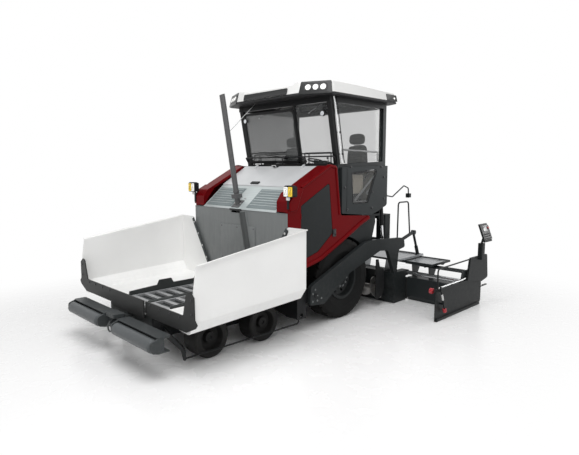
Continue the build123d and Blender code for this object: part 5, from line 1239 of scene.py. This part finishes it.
class PAVER_OT_bolts(bpy.types.Operator):
    """Bolt the wheels, hopper seals, flaps and tow arms"""
    bl_idname = "paver.bolts"
    bl_label = "Bolts"

    def execute(self, context):
        angles = [2 * pi * i / 10 for i in range(10)]
        ring = [(DRIVE_AXLE[0] + 0.135 * cos(a), DRIVE_AXLE[1] + 0.135 * sin(a)) for a in angles]
        foot, head = Vector((0.672, 0, 0.736)), Vector((1.224, 0, 1.658))  # of a wing's back edge
        slant = (head - foot).normalized()
        for side, sign in SIDES:
            wing = f"wing_{side}"
            bolts(f"wheel_nuts_{side}", (sign, 0, 0), 0.017, 0.022, [(sign * 1.098, y, z) for y, z in ring],
                  f"drive_wheel_{side}", "bolt_grey")
            # seal strip on the wing's back plate, with its row of bolts
            middle = (foot + head) / 2
            bar = box(f"seal_bar_{side}", (sign * middle.x, -0.985, middle.z),
                      (0.062, 0.012, (head - foot).length + 0.03), (0, sign * atan2(slant.x, slant.z), 0))
            faced(bar, (0, -1, 0), (0.006, 0.002))
            settle(bar, wing, "beam_grey", 0.002)
            row = [foot.lerp(head, share) for share in (0.06, 0.28, 0.5, 0.72, 0.94)]
            bolts(f"seal_bolts_{side}", (0, -1, 0), 0.013, 0.009, [(sign * p.x, -0.991, p.z) for p in row],
                  wing, "bolt_zinc")
            row = [(0.60, 0.765), (0.85, 0.765), (1.10, 0.765), (1.32, 0.765), (1.585, 0.85), (1.585, 1.02)]
            bolts(f"flap_bolts_{side}", (0, -1, 0), 0.012, 0.008, [(sign * x, -2.906, z) for x, z in row],
                  wing, "bolt_dark")
            bolts(f"arm_foot_bolts_{side}", (sign, 0, 0), 0.012, 0.010, [(sign * ARM_FACE, y, z) for y, z in (
                (-0.455, 0.475), (-0.455, 0.60), (-0.35, 0.475), (-0.35, 0.56), (-0.25, 0.50), (-0.40, 0.66),
            )], "screed", "bolt_grey")
        return {"FINISHED"}


class PAVER_OT_console_details(bpy.types.Operator):
    """Fit the operators' consoles: steering wheel, display, levers and key switches"""
    bl_idname = "paver.console_details"
    bl_label = "Console"

    def execute(self, context):
        self.steering_wheel()
        # a display on a short post at each side of the middle, and rows of keys on the sloping shelf
        for side, sign in SIDES:
            x = sign * 0.18
            display = box(f"display_{side}", (x, 0.430, 2.716), (0.20, 0.026, 0.100), (radians(28), 0, 0))
            rounded(display, (0, 0.88, 0.47), 0.018, 4)
            faced(display, (0, 0.88, 0.47), (0.010, 0), (0.003, -0.004))
            settle(display, "tractor", "screen_black", 0.002)
            post = rod(f"display_post_{side}", (x, 0.415, 2.640), (x, 0.428, 2.690), 0.016, 18)
            faced(post, (0, 0, -1), (0.004, 0), least=0.8)
            settle(post, "tractor", "bolt_dark", 0.002)
        key = begin("keys", "cylinder", radius=0.012, depth=0.014, vertices=16, location=(0, 0, 0))
        faced(key, (0, 0, 1), (0.004, 0.003))
        keys = spread(key, "console_keys", [
            (column * 0.055 - 0.605, y, 2.666 + (0.400 - y) * 0.34)
            for column in range(23) for y in (0.43, 0.47, 0.51)
        ])
        settle(keys, "tractor", "bolt_dark")
        return {"FINISHED"}

    def steering_wheel(self):
        """Steering wheel on its column, on the shelf behind the windscreen."""
        hub = Vector((0.500, 0.440, 2.706))
        tilt = radians(14)
        axis = Vector((0, sin(tilt), cos(tilt)))
        radius = 0.135
        wheel = begin("steering_wheel", "torus", major_radius=radius, minor_radius=0.012, major_segments=44,
                      minor_segments=12, location=hub, rotation=(-tilt, 0, 0))
        bpy.ops.object.mode_set(mode="OBJECT")
        parts = [wheel]
        for i in range(3):
            angle = 2 * pi * i / 3 + pi / 2
            out = Vector((cos(angle), sin(angle) * cos(tilt), -sin(angle) * sin(tilt)))
            parts.append(rod(f"spoke{i}", hub + out * 0.02 - axis * 0.012, hub + out * radius, 0.008, 12))
        boss = rod("boss", hub - axis * 0.035, hub + axis * 0.004, 0.034, 24)
        faced(boss, axis, (0.010, 0.006))
        parts.append(boss)
        settle(joined("steering_wheel", parts), "tractor", "black_plastic", smooth=50)
        column = rod("steering_column", (0.500, 0.420, 2.640), hub - axis * 0.03, 0.022, 20)
        faced(column, -axis, (0.004, 0), least=0.7)
        settle(column, "tractor", "bolt_dark", 0.002)


def applied(piece, kind, **options):
    """Adds a modifier with its options and applies it."""
    modifier = piece.modifiers.new(kind.lower(), kind)
    for key, value in options.items():
        setattr(modifier, key, value)
    bpy.ops.object.modifier_apply(modifier=modifier.name)


def seat_pad(name, middle, size, crown, voxel=0.012, corner=7.0, taper=0.0):
    """A crowned foam pad: swelled by cloth pressure, capped, and smoothed."""
    pad = box(name, middle, size)
    bpy.ops.mesh.select_all(action="SELECT")
    bpy.ops.mesh.subdivide(number_cuts=6)
    only(pad)
    half = [extent / 2 for extent in size]
    thin = size.index(min(size))
    wide, tall = (i for i in range(3) if i != thin)
    for vert in pad.data.vertices:
        local = [(vert.co[i] - middle[i]) / half[i] for i in range(3)]
        # the sides pull in between the corners, and the corners are rounded
        for i, other in ((wide, tall), (tall, wide)):
            local[i] *= 1 - 0.035 * (1 - local[other] ** 2)
        reach = max(abs(local[wide]), abs(local[tall]))
        local[thin] *= 1 - 0.28 * reach ** 4
        if reach > 0:
            eased = reach / sum(abs(local[i]) ** corner for i in (wide, tall)) ** (1 / corner)
            local[wide] *= eased
            local[tall] *= eased
        local[wide] *= 1 - taper * max(0.0, local[tall]) ** 2
        vert.co = [middle[i] + local[i] * half[i] for i in range(3)]
    applied(pad, "BEVEL", width=min(size) * 0.22, segments=4, limit_method="ANGLE")
    applied(pad, "REMESH", mode="VOXEL", voxel_size=voxel)
    swell(pad, crown)
    applied(pad, "SMOOTH", iterations=6)
    applied(pad, "SUBSURF", levels=1, render_levels=1)
    return pad


def swell(pad, crown, steps=20):
    """Cloth pressure from within, without gravity; no point moves further than crown."""
    rest = np.array([vert.co[:] for vert in pad.data.vertices])
    cloth = pad.modifiers.new("swell", "CLOTH")
    cloth.settings.use_pressure = True
    cloth.settings.uniform_pressure_force = 4
    cloth.settings.effector_weights.gravity = 0
    cloth.settings.tension_stiffness = cloth.settings.compression_stiffness = 12
    cloth.point_cache.frame_start, cloth.point_cache.frame_end = 1, steps
    for step in range(1, steps + 1):
        bpy.context.scene.frame_set(step)
    swelled = pad.evaluated_get(bpy.context.evaluated_depsgraph_get())
    move = np.array([vert.co[:] for vert in swelled.data.vertices]) - rest
    pad.modifiers.remove(cloth)
    bpy.context.scene.frame_set(1)
    reach = np.linalg.norm(move, axis=1, keepdims=True)
    move *= np.minimum(1, crown / np.maximum(reach, 1e-9))
    pad.data.vertices.foreach_set("co", (rest + move).ravel())


def grooved(pad, axis, places, facing, depth=0.006, width=0.012):
    """Sewn channels pressed into a pad at places on an axis, on the side that looks along facing."""
    aim = Vector(facing)
    for vert in pad.data.vertices:
        share = vert.normal.dot(aim)
        if share > 0.2:
            for place in places:
                off = (vert.co[axis] - place) / width
                vert.co -= aim * depth * max(0.0, 1 - off * off) ** 2 * min(1.0, share * 1.5)


class PAVER_OT_seats(bpy.types.Operator):
    """Build the two operators' seats: padded cushion, backrest and headrest on moulded shells"""
    bl_idname = "paver.seats"
    bl_label = "Seats"

    def execute(self, context):
        self.pads(*SEAT, sizes().padding)
        self.shells(*SEAT)
        self.armrests(*SEAT)
        return {"FINISHED"}

    def pads(self, x, y, crown):
        """Cushion, backrest and headrest, with the sewn channels in them."""
        cushion = seat_pad("seat_cushion_left", (x, y, 2.405), (0.455, 0.445, 0.118), crown)
        grooved(cushion, 0, (x - 0.135, x + 0.135), (0, 0, 1))
        grooved(cushion, 1, (y + 0.10,), (0, 0, 1), 0.005)
        back = seat_pad("seat_back_left", (x, y + 0.262, 2.735), (0.462, 0.100, 0.530), crown, taper=0.22)
        grooved(back, 0, (x - 0.13, x + 0.13), (0, -1, 0))
        grooved(back, 2, (2.60, 2.76, 2.90), (0, -1, 0), 0.005)
        head = seat_pad("headrest_left", (x, y + 0.258, 3.096), (0.335, 0.092, 0.200), crown * 0.7,
                        voxel=0.009, corner=3.2, taper=0.08)
        grooved(head, 2, (3.100,), (0, -1, 0), 0.004)
        for pad in (cushion, back, head):
            settle(pad, "tractor", "seat_cloth", smooth=80)
            if pad is cushion:
                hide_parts("seat_cushions")
            mirrored(pad)

    def shells(self, x, y):
        """Moulded shell behind the backrest, pan below the cushion, and the headrest's posts."""
        shell = box("seat_shell_left", (x, y + 0.318, 2.745), (0.420, 0.022, 0.500))
        pick(shell, "faces", along((0, 0, 1)))
        bpy.ops.transform.resize(value=(0.80, 1, 1), center_override=(x, y + 0.318, 2.995))
        rounded(shell, (0, 1, 0), 0.09, 6)
        faced(shell, (0, 1, 0), (0.03, 0.006))
        paired(shell, "seat_shell", 0.005, 3, 50)
        pan = box("seat_pan_left", (x, y, 2.346), (0.450, 0.440, 0.030))
        rounded(pan, (0, 0, 1), 0.06, 5)
        faced(pan, (0, 0, -1), (0.03, 0.004))
        paired(pan, "seat_shell", 0.004, 3, 50)
        posts = []
        for dx in (-0.06, 0.06):
            post = rod(f"post{dx}", (x + dx, y + 0.268, 2.960), (x + dx, y + 0.268, 3.105), 0.008, 16)
            faced(post, (0, 0, 1), (0.002, 0))
            posts.append(post)
        paired(joined("headrest_posts_left", posts), "rod_chrome")

    def armrests(self, x, y):
        """Armrests on their stays, and on the inner one a panel with the travel lever."""
        reach = 0.262
        for side, dx in (("outer", reach), ("inner", -reach)):
            rest = box(f"armrest_{side}_left", (x + dx, y + 0.045, 2.585), (0.062, 0.330, 0.058))
            rounded(rest, (0, 1, 0), 0.020, 4)
            faced(rest, (0, -1, 0), (0.008, 0.012))
            paired(rest, "seat_shell", 0.006, 3, 50)
            stay = tube(f"armrest_stay_{side}_left", [
                (x + dx, y + 0.200, 2.575), (x + dx, y + 0.285, 2.560), (x + dx * 0.80, y + 0.300, 2.480),
                (x + dx * 0.75, y + 0.220, 2.352),
            ], 0.011, 0.03, 3)
            paired(stay, "bolt_dark")
        inner = x - reach
        lean = (radians(-18), 0, 0)
        panel = box("armrest_panel_left", (inner, y - 0.165, 2.640), (0.115, 0.170, 0.050), lean)
        faced(panel, (0, -0.3, 0.95), (0.010, 0), (0.004, -0.004), least=0.8)
        paired(panel, "black_plastic", 0.006, 3)
        stick = rod("travel_lever_left", (inner, y - 0.20, 2.655), (inner, y - 0.245, 2.745), 0.007, 14)
        faced(stick, (0, -0.45, 0.9), (0.002, 0), least=0.8)
        paired(stick, "rod_chrome")
        ball = begin("travel_knob_left", "uv_sphere", radius=0.021, segments=20, ring_count=12,
                     location=(inner, y - 0.250, 2.755))
        pick(ball, "faces", along((0, 0, 1), 0.8))
        bpy.ops.transform.translate(value=(0, 0, 0.006))
        paired(ball, "black_plastic", smooth=80)


class PAVER_OT_screed_fittings(bpy.types.Operator):
    """Fit the end gates' knobs, rods and grips, the control panels, the decks' plates and the lamps"""
    bl_idname = "paver.screed_fittings"
    bl_label = "Screed fittings"

    def execute(self, context):
        for side, sign in SIDES:
            body = f"screed_extension_{side}"
            self.knobs(side, sign, body)
            self.gate_rod(side, sign, body)
            self.control_panel(side, sign, body)
        for side, sign in SIDES:
            self.deck(side, sign)
        for side, sign in SIDES:
            lamp = box(f"screed_lamp_lens_{side}", (sign * 1.115, 2.500, 1.997), (0.060, 0.050, 0.010))
            faced(lamp, (0, 0, -1), (0.006, 0.003))
            settle(lamp, "tractor", "lamp_white", 0.002)
        return {"FINISHED"}

    def knobs(self, side, sign, body):
        """The end gate's two red knobs with fluted rims, and the grip on its spindle."""
        r = sizes().knob
        for spot, start, end, radius in (
            ("inner", (2.300, 1.357, 0.520), (2.352, 1.357, 0.520), r),
            ("lower", (2.470, 1.548, 0.196), (2.470, 1.570, 0.146), r * 0.72),
        ):
            start, end = (Vector((sign * p[0], p[1], p[2])) for p in (start, end))
            knob = rod(f"{spot}_knob_{side}", start, end, radius, 30)
            way = (end - start).normalized()
            for facing in (way, -way):
                faced(knob, facing, (radius * 0.3, 0.005))
            pick(knob, "faces", lambda middle, facing: abs(facing.dot(way)) < 0.2)
            bpy.ops.mesh.inset(thickness=0.0012, depth=-0.002, use_individual=True)
            settle(knob, body, "red_plastic", 0.001)
        x = sign * 2.470
        sleeve = rod(f"spindle_grip_{side}", (x, 1.440, 0.465), (x, 1.480, 0.367), 0.022, 24)
        faced(sleeve, (0, 0, 1), (0.004, 0.004), least=0.8, either_way=True)
        settle(sleeve, body, "bolt_zinc", 0.002)

    def gate_rod(self, side, sign, body):
        """A pale rod along the top of the end gate, held by clips, and the grip at the gate's rear."""
        x = sign * GATE_ROD_X
        route = [(x, 1.40, 0.575), (x, 2.22, 0.578), (x, 2.36, 0.592)]
        rail = tube(f"gate_rod_{side}", route, 0.012, 0.04, 4)
        settle(rail, body, "pale_tube")
        clips = []
        for y in (1.48, 1.85, 2.18):
            clip = box(f"clip{y}", (x, y, 0.566), (0.032, 0.040, 0.028))
            faced(clip, (0, 0, 1), (0.008, 0.004))
            clips.append(clip)
        settle(joined(f"gate_rod_clips_{side}", clips), body, "bolt_dark", 0.003)
        x = sign * 2.404
        grip = rod(f"gate_grip_{side}", (x, 3.150, 0.330), (x, 3.290, 0.330), 0.017, 24)
        faced(grip, (0, 1, 0), (0.005, 0.003), either_way=True)
        settle(grip, body, "black_plastic", 0.002)

    def deck(self, side, sign):
        """Tread plate of the extension's deck with its folded rim, the seal and two ribs below."""
        body = f"screed_extension_{side}"
        x, y = sign * DECK[0], DECK[1]
        tread = box(f"deck_tread_{side}", (x, y, 0.766), (0.700, 0.660, 0.014))
        faced(tread, (0, 0, 1), (0.004, 0.002))
        settle(tread, body, "tread_plate", 0.002)
        # the rim is a plate whose middle is opened, top and bottom
        rim = box(f"deck_rim_{side}", (x, y, 0.772), (0.740, 0.700, 0.040))
        for up in (1, -1):
            faced(rim, (0, 0, up), (0.022, 0))
            bpy.ops.mesh.delete(type="FACE")
        pick(rim, "edges", lambda middle, way: abs(middle.x - x) < 0.349 and abs(middle.y - y) < 0.329)
        bpy.ops.mesh.bridge_edge_loops()
        bpy.ops.mesh.select_all(action="SELECT")
        bpy.ops.mesh.normals_make_consistent(inside=False)
        settle(rim, body, "slate", 0.003)
        seal = box(f"extension_seal_{side}", (sign * 1.2475, 2.267, 0.235), (0.095, 0.010, 0.430))
        faced(seal, (0, -1, 0), (0.008, 0.002))
        settle(seal, body, "flap_rubber", 0.002)
        for place in (2.30, 2.74):
            name = f"deck_rib_{side}_{round(place * 100)}"
            rib = box(name, (sign * 1.69, place, 0.728), (0.320, 0.012, 0.062))
            pick(rib, "faces", along((0, 0, -1)))
            bpy.ops.transform.resize(value=(0.8, 1, 1), center_override=(sign * 1.55, place, 0.70))
            settle(rib, body, "slate", 0.003)

    def control_panel(self, side, sign, body):
        """The tilted panel's face: a display, rows of keys and a dial."""
        middle = Vector((sign * 2.520, 2.900, 1.385))
        lean = radians(21)
        out, up = Vector((sign * cos(lean), 0, sin(lean))), Vector((-sign * sin(lean), 0, cos(lean)))
        turn = Matrix((up.cross(out), up, out)).transposed().to_euler()
        face = middle + out * 0.024
        plate = box(f"panel_face_{side}", middle + out * 0.020, (0.330, 0.276, 0.012), turn)
        rounded(plate, out, 0.020, 4)
        faced(plate, out, (0.010, 0), (0.003, -0.002))
        settle(plate, body, "black_plastic", 0.002)
        display = box(f"panel_display_{side}", face + up * 0.075, (0.17, 0.105, 0.008), turn)
        faced(display, out, (0.010, 0), (0.003, -0.003))
        settle(display, body, "screen_black", 0.0015)
        key = begin("key", "cylinder", radius=0.011, depth=0.012, vertices=16, location=(0, 0, 0),
                    rotation=out.to_track_quat("Z", "Y").to_euler())
        faced(key, out, (0.004, 0.003))
        keys = spread(key, f"panel_keys_{side}", [
            face + up * (-0.03 - 0.042 * row) + Vector((0, (column - 2.5) * 0.042, 0))
            for row in range(3) for column in range(6)
        ])
        settle(keys, body, "bolt_dark")
        foot = face + up * 0.08 + Vector((0, 0.115, 0))
        dial = rod(f"panel_dial_{side}", foot, foot + out * 0.022, 0.018, 24)
        faced(dial, out, (0.004, 0.003))
        settle(dial, body, "red_plastic", 0.001)


class PAVER_OT_stage(bpy.types.Operator):
    """Set the floor, the soft lights, the world and the camera"""
    bl_idname = "paver.stage"
    bl_label = "Stage"

    def execute(self, context):
        scene = context.scene
        stage = scene.paver_stage
        just_below = (0, 0, -0.0005)
        floor = begin("studio_floor", "circle", radius=30, vertices=96, fill_type="NGON", location=just_below)
        bpy.ops.object.mode_set(mode="OBJECT")
        floor.data.materials.append(self.floor_finish())
        for name, place, aim, size, power in (
            ("key_box", (2.5, -3.5, 9.0), (0, 0, 1.0), 7.0, stage.key),
            ("side_box", (9.0, -1.0, 4.5), (0.8, 0.2, 1.4), 4.5, stage.key * 0.10),
            ("front_box", (5.0, -9.5, 5.5), (-0.4, -1.2, 1.2), 5.0, stage.key * 0.22),
            ("rear_box", (4.5, 9.5, 4.4), (0.0, 1.6, 1.5), 4.0, stage.key * 0.30),
        ):
            light = bpy.data.lights.new(name, "AREA")
            light.shape, light.size, light.energy = "SQUARE", size, power
            lamp = bpy.data.objects.new(name, light)
            scene.collection.objects.link(lamp)
            lamp.location = place
            lamp.rotation_euler = (Vector(aim) - Vector(place)).to_track_quat("-Z", "Y").to_euler()
        scene.world = self.world(stage.fill)
        scene.view_settings.view_transform = "Standard"
        camera = bpy.data.cameras.new("camera")
        camera.lens, camera.sensor_width, camera.clip_end = stage.lens, 36, 200
        eye = bpy.data.objects.new("camera", camera)
        scene.collection.objects.link(eye)
        place, target = Vector((6.436, -6.067, 2.571)), Vector((0.300, -0.010, 1.539))
        eye.location = place
        eye.rotation_euler = (target - place).to_track_quat("-Z", "Y").to_euler()
        scene.camera = eye
        return {"FINISHED"}

    def floor_finish(self):
        """Pale floor that keeps the shadow, and fades into the white backdrop away from the machine."""
        f = Finish("studio_floor")
        # metres out from the machine's own footprint
        out_x, out_y = ((abs(axis) - reach).at_least(0.0) for axis, reach in ((f.x, 1.6), (f.y, 2.9)))
        away = f.node(
            "ShaderNodeMapRange", {"interpolation_type": "SMOOTHSTEP"},
            {"Value": (out_x * out_x + out_y * out_y).root(), "From Min": 0.2, "From Max": 4.2},
        )
        floor = f.node("ShaderNodeBsdfPrincipled", {}, {
            "Base Color": f.blend((0.93, 0.93, 0.93), (0.96, 0.96, 0.96), f.noise(0.6, 2)),
            "Roughness": 0.22 + f.noise(3, 3) * 0.1, "Specular IOR Level": 0.35,
        })
        glow = f.node("ShaderNodeEmission", {}, {"Color": WHITE, "Strength": 1.0})
        return f.shown(f.node("ShaderNodeMixShader", {}, {0: away * f.rays(), 1: floor, 2: glow}))

    def world(self, strength):
        """White to the camera, to gloss and through glass; an even fill to everything else."""
        world = bpy.data.worlds.new("studio")
        w = Nodes(world)
        fill, white = (
            w.node("ShaderNodeBackground", {}, {"Color": WHITE, "Strength": power})
            for power in (strength, 1.0)
        )
        mix = w.node("ShaderNodeMixShader", {}, {0: w.rays(), 1: fill, 2: white})
        w.node("ShaderNodeOutputWorld", {}, {"Surface": mix})
        return world


class PAVER_PT_panel(bpy.types.Panel):
    """Everything the paver's looks are made of"""
    bl_label = "Paver"
    bl_idname = "PAVER_PT_panel"
    bl_space_type = "VIEW_3D"
    bl_region_type = "UI"
    bl_category = "Paver"

    def draw(self, context):
        for group in (settings(), sizes(), context.scene.paver_stage):
            column = self.layout.column(align=True)
            for name in group.bl_rna.properties.keys():
                if name not in {"rna_type", "name"}:
                    column.prop(group, name)
        for step in STEPS:
            self.layout.operator(step.bl_idname)


STEPS = (
    PAVER_OT_finishes, PAVER_OT_headlamps, PAVER_OT_roof_pods, PAVER_OT_cab_trim, PAVER_OT_side_panels,
    PAVER_OT_hood_fittings, PAVER_OT_doors, PAVER_OT_body_lips, PAVER_OT_bolts, PAVER_OT_console_details,
    PAVER_OT_seats, PAVER_OT_screed_fittings, PAVER_OT_stage,
)
GROUPS = {"paver": PaverColours, "paver_sizes": PaverSizes, "paver_stage": PaverStage}
CLASSES = (*GROUPS.values(), *STEPS, PAVER_PT_panel)


def register():
    for cls in CLASSES:
        bpy.utils.register_class(cls)
    for name, group in GROUPS.items():
        setattr(bpy.types.Scene, name, bpy.props.PointerProperty(type=group))


def unregister():
    for name in GROUPS:
        delattr(bpy.types.Scene, name)
    for cls in reversed(CLASSES):
        bpy.utils.unregister_class(cls)


def main():
    register()
    for step in STEPS:
        group, name = step.bl_idname.split(".")
        getattr(getattr(bpy.ops, group), name)()


if __name__ == "__main__":
    main()
